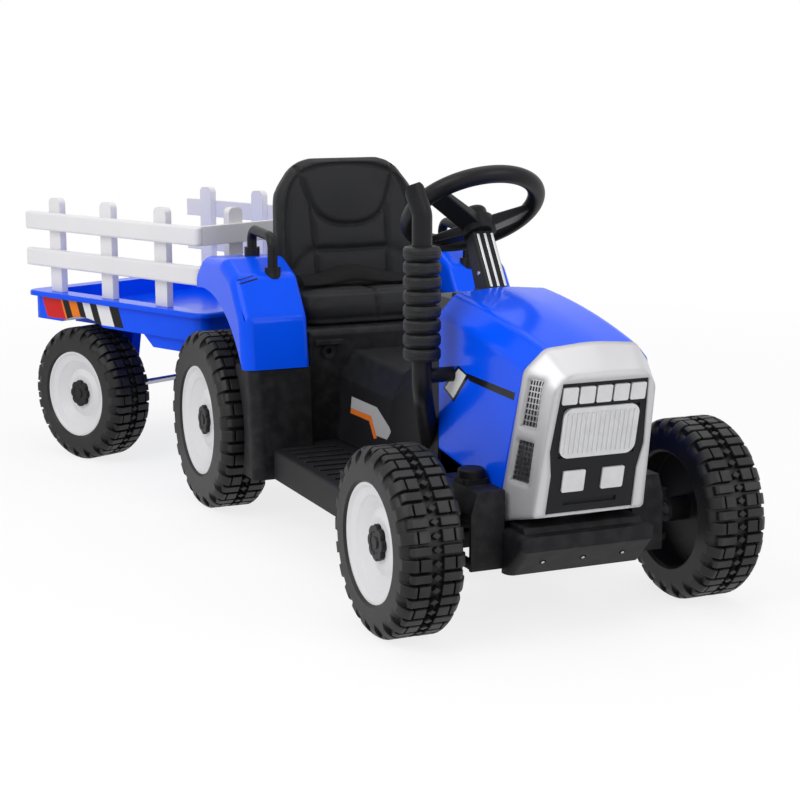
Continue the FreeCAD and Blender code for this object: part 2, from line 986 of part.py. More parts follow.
front_y = S.front_track_half - S.tyre_width / 2
rear_y = S.rear_track_half - S.tyre_width / 2
trailer_y = S.trailer_track_half - S.tyre_width / 2
front_wheel = make_wheel(
    "front", S.front_tyre_radius, S.front_rim_radius,
    lambda item: place_tractor(item, S.wheelbase, -front_y, S.front_tyre_radius))
rear_wheel = make_wheel(
    "rear", S.rear_tyre_radius, S.rear_rim_radius,
    lambda item: place_tractor(item, 0, -rear_y, S.rear_tyre_radius))
trailer_wheel = make_wheel(
    "trailer", S.trailer_tyre_radius, S.trailer_rim_radius,
    lambda item: place_trailer(item, -S.trailer_axle, -trailer_y, S.trailer_tyre_radius))
doc.recompute()
for piece in front_wheel + rear_wheel:
    mirror_tractor(piece.Label.replace("_right", "_left"), piece)
for piece in trailer_wheel:
    mirror_trailer(piece.Label.replace("_right", "_left"), piece)
doc.recompute()

# Lower body: floor pan with the two foot steps, open below

lower_body = new_body("lower_body")
step_rear = S.leg_front_foot + S.body_gap


def pan_outline(inset):
    """Outline of the floor pan seen from above, drawn in by the inset."""
    right = [
        (inset - S.pan_rear, S.pan_rear_half - inset),
        (step_rear + inset, S.pan_rear_half - inset),
        (step_rear + inset, S.step_half - inset),
        (S.step_front - inset, S.step_half - inset),
        (S.step_front - inset, S.nose_half - inset),
        (S.housing_rear - inset, S.nose_half - inset),
    ]
    return [(x, -y) for x, y in right] + [(x, y) for x, y in reversed(right)]


pad(lower_body, "XY_Plane", [pan_outline(NOUGHT)], S.pan_bottom, S.pan_top - S.pan_bottom)
fillet(lower_body, S.pan_corner, lambda edge: runs_along(edge, Z_AXIS)
       and near(abs(edge.CenterOfMass.y), S.step_half))
fillet(lower_body, S.pan_edge, lambda edge: near(edge.BoundBox.ZMin, S.pan_top)
       and near(edge.BoundBox.YMin, edge.BoundBox.YMax)
       and near(abs(edge.CenterOfMass.y), S.step_half))
pocket(lower_body, "XY_Plane", [pan_outline(S.wall)], S.pan_top - S.wall,
       S.pan_top - S.pan_bottom + S.overrun)
tread_end = S.step_half - S.tread_margin
tread_bars = []
for side in (-1, 1):
    tread_bars.append([
        (S.tread_start, S.tread_inner * side),
        (S.tread_start + S.tread_wide, S.tread_inner * side),
        (S.tread_start + S.tread_wide, tread_end * side),
        (S.tread_start, tread_end * side),
    ])
tread = pad(lower_body, "XY_Plane", tread_bars, S.pan_top, S.tread_rise)
row_of(lower_body, [tread], "X_Axis", S.tread_pitch, S.tread_count)
ear_reach = S.pedal_half + S.body_gap + S.pedal_ear
for side in (-1, 1):
    ear_start = S.pedal_y + (S.pedal_half + S.body_gap + S.pedal_ear / 2) * side - S.pedal_ear / 2
    pad(lower_body, "XZ_Plane", [[
        (S.pedal_x - S.pedal_barrel, S.pan_top - S.pan_edge),
        (S.pedal_x + S.pedal_barrel, S.pan_top - S.pan_edge),
        (S.pedal_x + S.pedal_barrel, S.pedal_z + S.pedal_barrel),
        (S.pedal_x - S.pedal_barrel, S.pedal_z + S.pedal_barrel),
    ]], ear_start, S.pedal_ear)
pocket(lower_body, "XZ_Plane", [(S.pedal_x, S.pedal_z, S.pedal_pin + S.running_fit)],
       S.pedal_y + ear_reach, ear_reach * 2)

# Accelerator pedal, hinged at the heel

pedal = new_body("pedal", lambda item: place_tractor(item, S.pedal_x, -S.pedal_y, S.pedal_z))
pedal_foot = S.pedal_long * cosine(S.pedal_rise)
pedal_toe = S.pedal_long * sine(S.pedal_rise)
pad(pedal, "XZ_Plane", [[
    (0, S.pedal_barrel - S.pedal_depth),
    (pedal_foot, pedal_toe),
    (pedal_foot, pedal_toe + S.pedal_depth),
    (0, S.pedal_barrel),
]], -S.pedal_half, S.pedal_half * 2)
pad(pedal, "XZ_Plane", [(NOUGHT, NOUGHT, S.pedal_barrel)], -S.pedal_half, S.pedal_half * 2)
pin_half = S.pedal_half + S.body_gap + S.pedal_ear
pad(pedal, "XZ_Plane", [(NOUGHT, NOUGHT, S.pedal_pin)], -pin_half, pin_half * 2)

# Seat pedestal with the two legs under the fenders

pedestal = new_body("seat_pedestal")
pad(pedestal, "XY_Plane", [[
    (-S.pan_rear, -S.pedestal_half),
    (S.pedestal_front, -S.pedestal_half),
    (S.pedestal_front, S.pedestal_half),
    (-S.pan_rear, S.pedestal_half),
]], S.pan_top, S.pedestal_top - S.pan_top)
fillet(pedestal, S.pedestal_corner, lambda edge: runs_along(edge, Z_AXIS)
       or (near(edge.CenterOfMass.z, S.pedestal_top) and runs_along(edge, Y_AXIS)))
arch_radius = S.rear_tyre_radius + S.arch_clear
leg_outline = [
    (S.leg_rear, S.leg_foot),
    (S.leg_front_foot, S.leg_foot),
    (S.leg_front_top, S.leg_top),
    (S.leg_rear, S.leg_top),
]
leg_wide = S.leg_outer - S.pedestal_half
for start in (S.pedestal_half, -S.leg_outer):
    pad(pedestal, "XZ_Plane", [leg_outline], start, leg_wide)
fillet(pedestal, S.leg_round, lambda edge: near(abs(edge.CenterOfMass.y), S.leg_outer)
       and not runs_along(edge, X_AXIS) and edge.CenterOfMass.x > float(S.pedestal_front))
pocket(pedestal, "XZ_Plane", [(NOUGHT, S.rear_tyre_radius, arch_radius)],
       S.leg_outer + S.overrun, S.leg_outer - S.pedestal_half + S.overrun)
pocket(pedestal, "XZ_Plane", [(NOUGHT, S.rear_tyre_radius, arch_radius)],
       -S.pedestal_half, S.leg_outer - S.pedestal_half + S.overrun)
pocket(pedestal, "XY_Plane", [[
    (S.wall - S.pan_rear, S.wall - S.pedestal_half),
    (S.pedestal_front - S.wall, S.wall - S.pedestal_half),
    (S.pedestal_front - S.wall, S.pedestal_half - S.wall),
    (S.wall - S.pan_rear, S.pedestal_half - S.wall),
]], S.pedestal_top - S.wall, S.pedestal_top - S.pan_top + S.overrun)
pocket(pedestal, "XZ_Plane", [
    (S.motor_x, S.motor_z, S.motor_radius),
    (NOUGHT, S.rear_tyre_radius, S.axle_radius),
], S.pedestal_half, S.pedestal_half * 2)
pocket(pedestal, "YZ_Plane", [(-S.socket_y, S.socket_z, S.socket_bore * 2)],
       S.pedestal_front + S.overrun, S.wall + S.overrun * 2)
lip_low = S.socket_z + S.socket_radius
pad(pedestal, "YZ_Plane", [[
    (-S.socket_y - S.socket_lip_half, lip_low),
    (-S.socket_y + S.socket_lip_half, lip_low),
    (-S.socket_y + S.socket_lip_half, lip_low + S.socket_lip_high),
    (-S.socket_y - S.socket_lip_half, lip_low + S.socket_lip_high),
]], S.pedestal_front - S.wall, S.socket_lip_depth + S.wall)

socket = new_body("charge_socket", lambda item: place_tractor(
    item, S.pedestal_front, -S.socket_y, S.socket_z))
pad(socket, "YZ_Plane", [(NOUGHT, NOUGHT, S.socket_radius)], NOUGHT, S.socket_proud)
pad(socket, "YZ_Plane", [(NOUGHT, NOUGHT, S.socket_bore * 2)], -S.wall, S.wall)
pocket(socket, "YZ_Plane", [(NOUGHT, NOUGHT, S.socket_bore)], S.socket_proud, S.socket_proud + S.wall / 2)

# Fenders, hollow below

fender = new_body("fender_right")
fender_wide = S.fender_outer - S.fender_inner


def fender_outline(inset):
    return [
        (S.fender_front - inset, S.leg_top + S.body_gap),
        (S.fender_brow_x - inset, S.fender_brow_z),
        (S.fender_crest_x - inset, S.fender_crest_z - inset),
        (S.fender_top_x, S.fender_top_z - inset),
        (S.fender_back_x, S.fender_back_z - inset),
        (S.fender_tail_x + inset, S.fender_tail_z - inset),
        (S.fender_tail_x + inset, S.rear_tyre_radius),
        (S.fender_front - inset, S.rear_tyre_radius),
    ]


pad(fender, "XZ_Plane", [fender_outline(NOUGHT)], S.fender_inner, fender_wide)
bend_low = float(S.fender_brow_z) - float(S.fender_wall)
fillet(fender, S.fender_bend, lambda edge: runs_along(edge, Y_AXIS)
       and edge.CenterOfMass.z > bend_low)
fillet(fender, S.fender_edge, lambda edge: near(edge.BoundBox.YMin, -S.fender_outer)
       and near(edge.BoundBox.YMax, -S.fender_outer)
       and edge.BoundBox.ZMax > float(S.leg_top) + float(S.fender_wall))
fillet(fender, S.fender_inner_edge, lambda edge: near(edge.BoundBox.YMin, -S.fender_inner)
       and near(edge.BoundBox.YMax, -S.fender_inner)
       and edge.BoundBox.ZMax > float(S.leg_top) + float(S.fender_wall))
pocket(fender, "XZ_Plane", [(NOUGHT, S.rear_tyre_radius, S.fender_arch)],
       S.fender_outer + S.overrun, fender_wide + S.overrun * 2)
pocket(fender, "XZ_Plane", [[
    (S.fender_tail_x - S.overrun, S.rear_tyre_radius - S.overrun),
    (S.fender_front + S.overrun, S.rear_tyre_radius - S.overrun),
    (S.fender_front + S.overrun, S.leg_top + S.body_gap),
    (S.fender_tail_x - S.overrun, S.leg_top + S.body_gap),
]], S.fender_outer + S.overrun, fender_wide + S.overrun * 2)
pocket(fender, "XZ_Plane", [fender_outline(S.fender_wall)],
       S.fender_outer - S.fender_wall, fender_wide - S.fender_wall * 2)
mirror_tractor("fender_left", fender)
doc.recompute()

# Grab handles on the fenders, seated on the fender tops

fender_top = fender.Shape.copy()
fender_top.translate(vec(-S.datum_x, -S.datum_y))


def grab_handle():
    rear = vec(S.handle_rear_x, -S.handle_y, S.fender_top_z - S.fender_wall)
    front = vec(S.handle_front_x, -S.handle_y, S.fender_crest_z - S.fender_wall)
    top = S.fender_top_z + S.handle_rise
    path = [
        rear,
        vec(S.handle_rear_x, -S.handle_y, top),
        vec(S.handle_front_x, -S.handle_y, top - S.handle_foot_high),
        front,
    ]
    loop = tube_along(path, [S.handle_bend, S.handle_bend], S.handle_tube)
    foot_high = float(S.handle_foot_high + S.fender_wall * 2)
    for foot in (rear, front):
        loop = loop.fuse(Part.makeCylinder(float(S.handle_foot), foot_high, foot, Z_AXIS))
    hollow = block(S.fender_tail_x, S.fender_front, -S.fender_outer, -S.fender_inner,
                   S.rear_tyre_radius, S.fender_brow_z)
    loop = loop.cut(fender_top).cut(hollow)
    return max(loop.Solids, key=lambda solid: solid.BoundBox.ZMax)


right_handle = grab_handle()
handles = feature_of("grab_handles", Part.makeCompound(
    [right_handle, right_handle.mirror(Vector(), Y_AXIS)]))
place_tractor(handles)

# Hood: a loft in three sections, hollow below and open at the back


def hood_section(x, half, foot, top, inset):
    side = half - inset
    shoulder = side - S.hood_shoulder_in
    crest = top - inset
    right = [
        (side, foot),
        (side, crest - S.hood_shoulder_drop),
        (shoulder, crest),
    ]
    points = [vec(x, -y, z) for y, z in right]
    points.append(vec(x, 0, crest + S.hood_crown))
    points += [vec(x, y, z) for y, z in reversed(right)]
    soft = S.hood_shoulder_round
    tiny = S.hood_crown
    return rounded_wire(points, [tiny, soft, soft, S.hood_crown_round, soft, soft, tiny])


def hood_solid(inset, drop):
    sections = [
        hood_section(S.hood_rear - inset, S.hood_rear_half, S.hood_rear_foot - drop, S.hood_rear_top, inset),
        hood_section(S.hood_mid, S.hood_mid_half, S.hood_mid_foot - drop, S.hood_mid_top, inset),
        hood_section(S.hood_nose + inset, S.hood_nose_half, S.hood_nose_foot - drop, S.hood_nose_top, inset),
    ]
    return Part.makeLoft(sections, True, False)


hood_outer = hood_solid(NOUGHT, NOUGHT)
hood_inner = hood_solid(S.wall, S.overrun * 3)
lean_run = S.bezel_rear_top_x - S.bezel_rear_foot_x
lean_rise = S.hood_nose_top - S.bezel_rear_foot_z


def nose_cutter():
    """Everything in front of the slanted plane where the hood meets the bezel."""
    rise = (S.hood_rear_top - S.bezel_rear_foot_z) / lean_rise
    low = (S.bezel_rear_foot_z - S.pan_top) / lean_rise * 2
    wide = S.hood_rear_half + S.overrun
    points = [
        vec(S.bezel_rear_foot_x - lean_run * low, -wide, S.bezel_rear_foot_z - lean_rise * low),
        vec(S.hood_nose + S.hood_crown * S.overrun, -wide, S.bezel_rear_foot_z - lean_rise * low),
        vec(S.hood_nose + S.hood_crown * S.overrun, -wide, S.hood_rear_top),
        vec(S.bezel_rear_foot_x + lean_run * rise, -wide, S.hood_rear_top),
    ]
    face = Part.Face(Part.makePolygon(points + [points[0]]))
    return face.extrude(vec(0, wide * 2, 0))


hood_shell = hood_outer.cut(hood_inner).cut(nose_cutter())
hood = feature_of("hood", hood_shell)
place_tractor(hood)

# Grille bezel: a tapering frame from the slanted edge of the hood to the slanted grille face


def on_slant(z):
    return S.bezel_rear_foot_x + lean_run * ((z - S.bezel_rear_foot_z) / lean_rise)


def on_grille(across, up, out=0):
    lean = math.radians(float(S.grille_lean))
    upward = Vector(math.sin(lean), 0, math.cos(lean))
    outward = Y_AXIS.cross(upward)
    foot = vec(S.grille_foot_x, 0, S.grille_foot_z)
    return foot + Y_AXIS * float(across) + upward * float(up) + outward * float(out)


def bezel_rear_wire(inset, back):
    nose_share = (S.bezel_rear_top_x - S.hood_mid) / (S.hood_nose - S.hood_mid)
    crest = S.hood_mid_top + (S.hood_nose_top - S.hood_mid_top) * nose_share + S.bezel_proud - inset
    half = S.hood_mid_half + (S.hood_nose_half - S.hood_mid_half) * nose_share + S.bezel_proud - inset
    right = [
        (half, S.bezel_rear_foot_z + inset),
        (half, crest - S.hood_shoulder_drop),
        (half - S.hood_shoulder_in, crest),
    ]
    points = [vec(on_slant(z) - back, -y, z) for y, z in right]
    points.append(vec(on_slant(crest + S.hood_crown) - back, 0, crest + S.hood_crown))
    points += [vec(on_slant(z) - back, y, z) for y, z in reversed(right)]
    soft = S.hood_shoulder_round
    tiny = S.hood_crown
    return rounded_wire(points, [tiny, soft, soft, S.hood_crown_round, soft, soft, tiny])


def bezel_front_wire(inset, back):
    top = S.grille_high + S.bezel_top_margin - inset
    shoulder = S.bezel_front_top_half - S.bezel_front_round
    right = [
        (S.bezel_front_low_half - inset, inset - S.bezel_front_low),
        (S.bezel_front_top_half - inset, top - S.bezel_front_round),
        (shoulder - inset, top),
    ]
    points = [on_grille(-y, up, -back) for y, up in right]
    points.append(on_grille(0, top + S.bezel_proud, -back))
    points += [on_grille(y, up, -back) for y, up in reversed(right)]
    soft = S.bezel_soft
    tiny = S.hood_crown
    return rounded_wire(points, [tiny, soft, soft, S.hood_crown_round, soft, soft, tiny])


def panel_outline(grow):
    right = [
        (S.grille_neck_half + S.bezel_proud + grow, -grow),
        (S.grille_neck_half + grow, S.grille_neck_high),
        (S.grille_waist_half - S.bezel_wall + grow, S.grille_waist_high),
        (S.grille_top_half - S.bezel_wall + grow, S.grille_high - S.bezel_wall + grow),
    ]
    return right


def panel_points(grow):
    right = panel_outline(grow)
    return [(-y, up) for y, up in right] + [(y, up) for y, up in reversed(right)]


def side_window(low, high):
    """Slanted opening in the side of the bezel between two heights along the grille."""
    lean = cosine(S.grille_lean)
    points = []
    for up, front in ((low, True), (high, True), (high, False), (low, False)):
        z = S.grille_foot_z + up * lean
        edge = S.grille_foot_x + up * sine(S.grille_lean)
        x = edge - S.mesh_margin * 2 if front else on_slant(z) + S.mesh_margin
        points.append(vec(x, S.grille_neck_half, z))
    face = Part.Face(Part.makePolygon(points + [points[0]]))
    return face.extrude(vec(0, S.hood_mid_half - S.grille_neck_half + S.overrun, 0))


bezel_outer = Part.makeLoft(
    [bezel_rear_wire(NOUGHT, NOUGHT), bezel_front_wire(NOUGHT, NOUGHT)], True, True)
bezel_inner = Part.makeLoft(
    [bezel_rear_wire(S.bezel_wall, S.bezel_face), bezel_front_wire(S.bezel_wall, S.bezel_face)], True, True)
opening_points = [on_grille(y, up, -S.overrun * 2) for y, up in panel_points(S.panel_gap)]
opening_face = Part.Face(Part.makePolygon(opening_points + [opening_points[0]]))
grille_opening = opening_face.extrude(on_grille(0, 0, S.overrun * 3) - on_grille(0, 0))
bezel_frame = bezel_outer.cut(bezel_inner).cut(grille_opening)
windows = [side_window(S.mesh_low, S.mesh_split_low), side_window(S.mesh_split_high, S.mesh_high)]
windows += [window.mirror(Vector(), Y_AXIS) for window in windows]
bezel_plain = bezel_frame
for window in windows:
    bezel_frame = bezel_frame.cut(window)
bezel = feature_of("grille_bezel", bezel_frame)
place_tractor(bezel)

# Side mesh inserts: a lattice let into each window of the bezel, a little below its surface


def lattice(low, high):
    lean = cosine(S.grille_lean)
    wide = S.hood_mid_half + S.overrun
    z_low = S.grille_foot_z + low * lean
    z_high = S.grille_foot_z + high * lean
    bars = []
    rows = int(float(S.mesh_rows))
    for row in range(rows):
        z = z_low + (z_high - z_low - S.mesh_bar) * (row / (rows - 1))
        bars.append(block(S.bezel_rear_foot_x, S.hood_nose, -wide, wide, z, z + S.mesh_bar))
    columns = int(float(S.mesh_columns))
    for column in range(columns):
        share = column / (columns - 1)
        points = []
        for z, up in ((z_low, low), (z_high, high)):
            front = S.grille_foot_x + up * sine(S.grille_lean) - S.mesh_margin * 2 - S.mesh_bar
            rear = on_slant(z) + S.mesh_margin
            points.append((rear + (front - rear) * share, z))
        corners = [vec(points[0][0], -wide, z_low), vec(points[0][0] + S.mesh_bar, -wide, z_low),
                   vec(points[1][0] + S.mesh_bar, -wide, z_high), vec(points[1][0], -wide, z_high)]
        bars.append(Part.Face(Part.makePolygon(corners + [corners[0]])).extrude(vec(0, wide * 2, 0)))
    return bars[0].multiFuse(bars[1:])


mesh_solids = []
window_heights = [(S.mesh_low, S.mesh_split_low), (S.mesh_split_high, S.mesh_high)] * 2
for window, (low, high) in zip(windows, window_heights):
    side = 1 if window.BoundBox.Center.y > 0 else -1
    plug = bezel_plain.common(window)
    sunk = plug.translated(vec(0, S.mesh_depth * -side, 0)).common(plug)
    mesh_solids += sunk.common(lattice(low, high)).Solids
mesh = feature_of("side_mesh", Part.makeCompound(mesh_solids))
place_tractor(mesh)

# Grille panel and its lenses, drawn flat in the plane of the grille

panel = new_body("grille_panel", place_leaning)
panel_face = -S.panel_recess
pad(panel, "XY_Plane", [panel_points(NOUGHT)], panel_face - S.panel_depth, S.panel_depth)
main_lens_top = S.main_lens_low + S.main_lens_high


def lens_frames(grow):
    """Corners of the small lenses, as middle across, low, half width and height."""
    frames = []
    for index in (-2, -1, 0, 1, 2):
        frames.append((S.small_lens_pitch * index, S.small_lens_low - grow,
                       S.small_lens_wide / 2 + grow, S.small_lens_high + grow * 2))
    for side in (-1, 1):
        frames.append((S.low_lamp_y * side, S.low_lamp_low - grow,
                       S.low_lamp_half + grow, S.low_lamp_high + grow * 2))
    return frames


pocket_loops = []
for middle, low, half, high in lens_frames(S.panel_gap):
    pocket_loops.append([(middle - half, low), (middle + half, low),
                         (middle + half, low + high), (middle - half, low + high)])
main_half = S.main_lens_half + S.panel_gap
pocket_loops.append([
    (-main_half, S.main_lens_low - S.panel_gap), (main_half, S.main_lens_low - S.panel_gap),
    (main_half, main_lens_top + S.panel_gap), (-main_half, main_lens_top + S.panel_gap)])
pocket_loops.append([
    (-S.panel_slot_half, S.panel_slot_low), (S.panel_slot_half, S.panel_slot_low),
    (S.panel_slot_half, S.panel_slot_low + S.panel_slot_high),
    (-S.panel_slot_half, S.panel_slot_low + S.panel_slot_high)])
pocket(panel, "XY_Plane", pocket_loops, panel_face, S.lens_pocket)

lens_back = panel_face - S.lens_pocket
lens_front = panel_face + S.lens_proud
lens_solids = []
for middle, low, half, high in lens_frames(NOUGHT):
    lens = block(middle - half, middle + half, low, low + high, lens_back, lens_front)
    upright = [edge for edge in lens.Edges if runs_along(edge, Z_AXIS)]
    lens_solids.append(lens.makeFillet(float(S.lens_proud), upright))
main_lens = block(-S.main_lens_half, S.main_lens_half, S.main_lens_low, main_lens_top, lens_back, lens_front)
main_lens = main_lens.makeFillet(
    float(S.main_lens_round), [edge for edge in main_lens.Edges if runs_along(edge, Z_AXIS)])
rib_count = int(float(S.main_lens_ribs))
lens_ribs = []
for index in range(rib_count):
    middle = S.main_lens_rib_pitch * (index - (rib_count - 1) / 2)
    low = S.main_lens_low + S.main_lens_round / 2
    rib = Part.makeCylinder(float(S.main_lens_rib), float(S.main_lens_high - S.main_lens_round),
                            vec(middle, low, lens_front), Y_AXIS)
    lens_ribs.append(rib)
lens_solids.append(main_lens.multiFuse(lens_ribs))
lenses = feature_of("lamp_lenses", Part.makeCompound(lens_solids))
place_leaning(lenses)

# Front axle housing: an inverted trough with raised ends that carry the king pin yokes

housing = new_body("axle_housing")
housing_gap = S.hood_mid_half + S.body_gap * 2
housing_right = [
    (S.housing_half, S.housing_foot),
    (S.housing_half, S.housing_side_top),
    (S.housing_top_half, S.housing_top),
    (housing_gap, S.housing_top),
    (housing_gap, S.housing_mid_top),
]
housing_long = S.housing_front - S.housing_rear
pad(housing, "YZ_Plane", [[(-y, z) for y, z in housing_right] + [(y, z) for y, z in reversed(housing_right)]],
    S.housing_rear, housing_long)
trough_rear = S.housing_rear + S.housing_wall
trough_front = S.housing_front - S.housing_wall


def trough(top):
    return [(trough_rear, S.housing_foot - S.overrun), (trough_front, S.housing_foot - S.overrun),
            (trough_front, top), (trough_rear, top)]


pocket(housing, "XZ_Plane", [trough(S.housing_mid_roof)], S.housing_half + S.overrun,
       (S.housing_half + S.overrun) * 2)
end_cut = S.housing_half - S.housing_step + S.overrun
pocket(housing, "XZ_Plane", [trough(S.housing_roof)], S.housing_half + S.overrun, end_cut)
pocket(housing, "XZ_Plane", [trough(S.housing_roof)], -S.housing_step, end_cut)
pocket(housing, "XY_Plane", [[
    (S.housing_port_rear, -S.housing_port_half), (S.housing_port_front, -S.housing_port_half),
    (S.housing_port_front, S.housing_port_half), (S.housing_port_rear, S.housing_port_half),
]], S.housing_mid_top + S.overrun, S.housing_mid_top - S.housing_mid_roof + S.overrun * 2)
for side in (-1, 1):
    yoke = [
        (S.wheelbase - S.yoke_half, S.yoke_root * side), (S.wheelbase + S.yoke_half, S.yoke_root * side),
        (S.wheelbase + S.yoke_half, S.yoke_reach * side), (S.wheelbase - S.yoke_half, S.yoke_reach * side)]
    bridge = [
        (S.housing_rear, S.yoke_root * side), (S.housing_front, S.yoke_root * side),
        (S.housing_front, S.housing_half * side), (S.housing_rear, S.housing_half * side)]
    pad(housing, "XY_Plane", [yoke], S.yoke_low, S.yoke_plate)
    pad(housing, "XY_Plane", [bridge], S.yoke_low, S.yoke_plate)
    pad(housing, "XY_Plane", [yoke], S.housing_roof, S.yoke_plate)
fillet(housing, S.bumper_corner, lambda edge: runs_along(edge, Z_AXIS)
       and near(abs(edge.CenterOfMass.y), S.yoke_reach))
pocket(housing, "XY_Plane", [
    (S.wheelbase, -S.kingpin_half, S.kingpin_radius + S.running_fit),
    (S.wheelbase, S.kingpin_half, S.kingpin_radius + S.running_fit),
], S.housing_top, S.housing_top - S.yoke_low + S.overrun)

# Filler caps on the raised ends of the housing


def filler_cap(side):
    y = S.filler_y * side
    base = block(S.filler_x - S.filler_base, S.filler_x + S.filler_base,
                 y - S.filler_base, y + S.filler_base, S.housing_top, S.housing_top + S.filler_base_high)
    upright = [edge for edge in base.Edges if runs_along(edge, Z_AXIS)]
    base = base.makeFillet(float(S.filler_base_high), upright)
    knob = rod_z(S.filler_radius, S.filler_x, y, S.housing_top + S.filler_base_high,
                 S.housing_top + S.filler_base_high + S.filler_high)
    top = [edge for edge in knob.Edges if near(edge.BoundBox.ZMin, knob.BoundBox.ZMax)]
    return base.fuse(knob.makeFillet(float(S.rim_wall), top))


fillers = feature_of("filler_caps", Part.makeCompound([filler_cap(-1), filler_cap(1)]))
place_tractor(fillers)

# Bumper block

bumper = new_body("bumper")
pad(bumper, "XZ_Plane", [[
    (S.housing_front, S.bumper_foot_z), (S.bumper_foot_x, S.bumper_foot_z),
    (S.bumper_front, S.bumper_face_low), (S.bumper_front, S.bumper_top), (S.housing_front, S.bumper_top),
]], -S.bumper_half, S.bumper_half * 2)
fillet(bumper, S.bumper_corner, lambda edge: near(abs(edge.CenterOfMass.y), S.bumper_half)
       and edge.CenterOfMass.x > float(S.bumper_foot_x))
pad(bumper, "XZ_Plane", [[
    (S.housing_front, S.bumper_top - S.bumper_ledge),
    (S.bumper_front - S.bumper_ledge_setback, S.bumper_top - S.bumper_ledge),
    (S.bumper_front - S.bumper_ledge_setback * 2, S.bumper_top + S.bumper_ledge),
    (S.housing_front, S.bumper_top + S.bumper_ledge),
]], -S.bumper_ledge_half, S.bumper_ledge_half * 2)

# Centre cover between the seat and the dash, open below and at both ends


def cover_section(x, half, top, inset):
    foot = half + S.cover_foot_flare - inset
    side = half - inset
    crest = top - inset
    low = S.pan_top if float(inset) == 0 else S.pan_top - S.overrun
    right = [(foot, low), (side, crest - S.cover_shoulder * 2), (side - S.cover_shoulder, crest)]
    points = [vec(x, -y, z) for y, z in right] + [vec(x, y, z) for y, z in reversed(right)]
    soft = S.cover_shoulder / 2
    tiny = S.wall / 2
    return rounded_wire(points, [tiny, soft, soft, soft, soft, tiny])


cover_front = S.hood_rear - S.body_gap


def cover_solid(inset, reach):
    sections = [
        cover_section(S.pedestal_front - reach, S.cover_rear_half, S.cover_rear_top, inset),
        cover_section(S.cover_low_x, S.cover_low_half, S.cover_low_top, inset),
        cover_section(S.dash_foot_x, S.dash_half - S.wall, S.dash_foot, inset),
        cover_section(cover_front + reach, S.dash_half, S.dash_foot, inset),
    ]
    return Part.makeLoft(sections, True, True)


cover_outer = cover_solid(NOUGHT, NOUGHT)
cover_shell = cover_outer.cut(cover_solid(S.wall, S.overrun))
centre_cover = feature_of("centre_cover", cover_shell)
place_tractor(centre_cover)

# Dash, open towards the hood

dash = new_body("dash")


def dash_outline(inset, reach):
    return [
        (cover_front + reach, S.dash_top - inset),
        (S.dash_top_rear + inset, S.dash_top - inset),
        (S.dash_rear + inset, S.dash_brow_z),
        (S.dash_foot_x + inset, S.dash_foot - reach),
        (cover_front + reach, S.dash_foot - reach),
    ]


pad(dash, "XZ_Plane", [dash_outline(NOUGHT, NOUGHT)], -S.dash_half, S.dash_half * 2)
fillet(dash, S.dash_edge, lambda edge: near(abs(edge.CenterOfMass.y), S.dash_half)
       and edge.CenterOfMass.z > float(S.dash_foot) + TOUCH
       and edge.CenterOfMass.x < float(cover_front) - TOUCH)
dash_inner = S.dash_half - S.hood_shoulder_in - S.wall
pocket(dash, "XZ_Plane", [dash_outline(S.wall, S.overrun)], dash_inner, dash_inner * 2)
for side in (-1, 1):
    edge = S.dash_half * side
    shoulder = (S.dash_half - S.hood_shoulder_in) * side
    beyond = (S.dash_half + S.overrun) * side
    pocket(dash, "YZ_Plane", [[
        (shoulder, S.dash_top), (edge, S.dash_top - S.hood_shoulder_drop),
        (beyond, S.dash_top - S.hood_shoulder_drop),
        (beyond, S.dash_top + S.overrun), (shoulder, S.dash_top + S.overrun),
    ]], cover_front + S.overrun, cover_front - S.dash_rear + S.overrun * 2)
    near_column = (S.column_base_half + S.body_gap) * side
    pad(dash, "YZ_Plane", [[
        (near_column, S.dash_top - S.wall), (dash_inner * side, S.dash_top - S.wall),
        (dash_inner * side, S.hood_rear_top - S.body_gap), (near_column, S.hood_rear_top - S.body_gap),
    ]], cover_front - S.wall, S.wall)
pocket(dash, "XY_Plane", [[
    (S.column_base_rear + S.wall, -S.column_bore * 2), (cover_front + S.overrun, -S.column_bore * 2),
    (cover_front + S.overrun, S.column_bore * 2), (S.column_base_rear + S.wall, S.column_bore * 2),
]], S.dash_top + S.overrun, S.wall + S.overrun * 2)
well = S.rocker_long / 2 + S.well_gap
well_half = S.rocker_wide / 2 + S.well_gap
pocket(dash, "XY_Plane", [
    (S.button_x, -S.button_y, S.button_radius + S.body_gap),
    [(S.button_x - well, S.button_y - well_half), (S.button_x + well, S.button_y - well_half),
     (S.button_x + well, S.button_y + well_half), (S.button_x - well, S.button_y + well_half)],
], S.dash_top + S.overrun, S.wall + S.overrun * 2)
rocker_z = S.dash_top - S.wall / 2
pin_reach = well_half + S.rocker_deep
pocket(dash, "XZ_Plane", [(S.button_x, rocker_z, S.rocker_pin + S.running_fit)],
       pin_reach - S.button_y, pin_reach * 2)

# Power button and direction rocker

button = new_body("power_button", lambda item: place_tractor(item, S.button_x, -S.button_y, S.dash_top))
flange_low = -S.wall - S.body_gap - S.button_travel
pad(button, "XY_Plane", [(NOUGHT, NOUGHT, S.button_radius)], flange_low, S.button_proud - flange_low)
pad(button, "XY_Plane", [(NOUGHT, NOUGHT, S.button_radius + S.button_travel)], flange_low, S.button_travel)
fillet(button, S.button_travel / 2, lambda edge: near(edge.BoundBox.ZMin, S.button_proud)
       and is_ring(edge, S.button_radius))

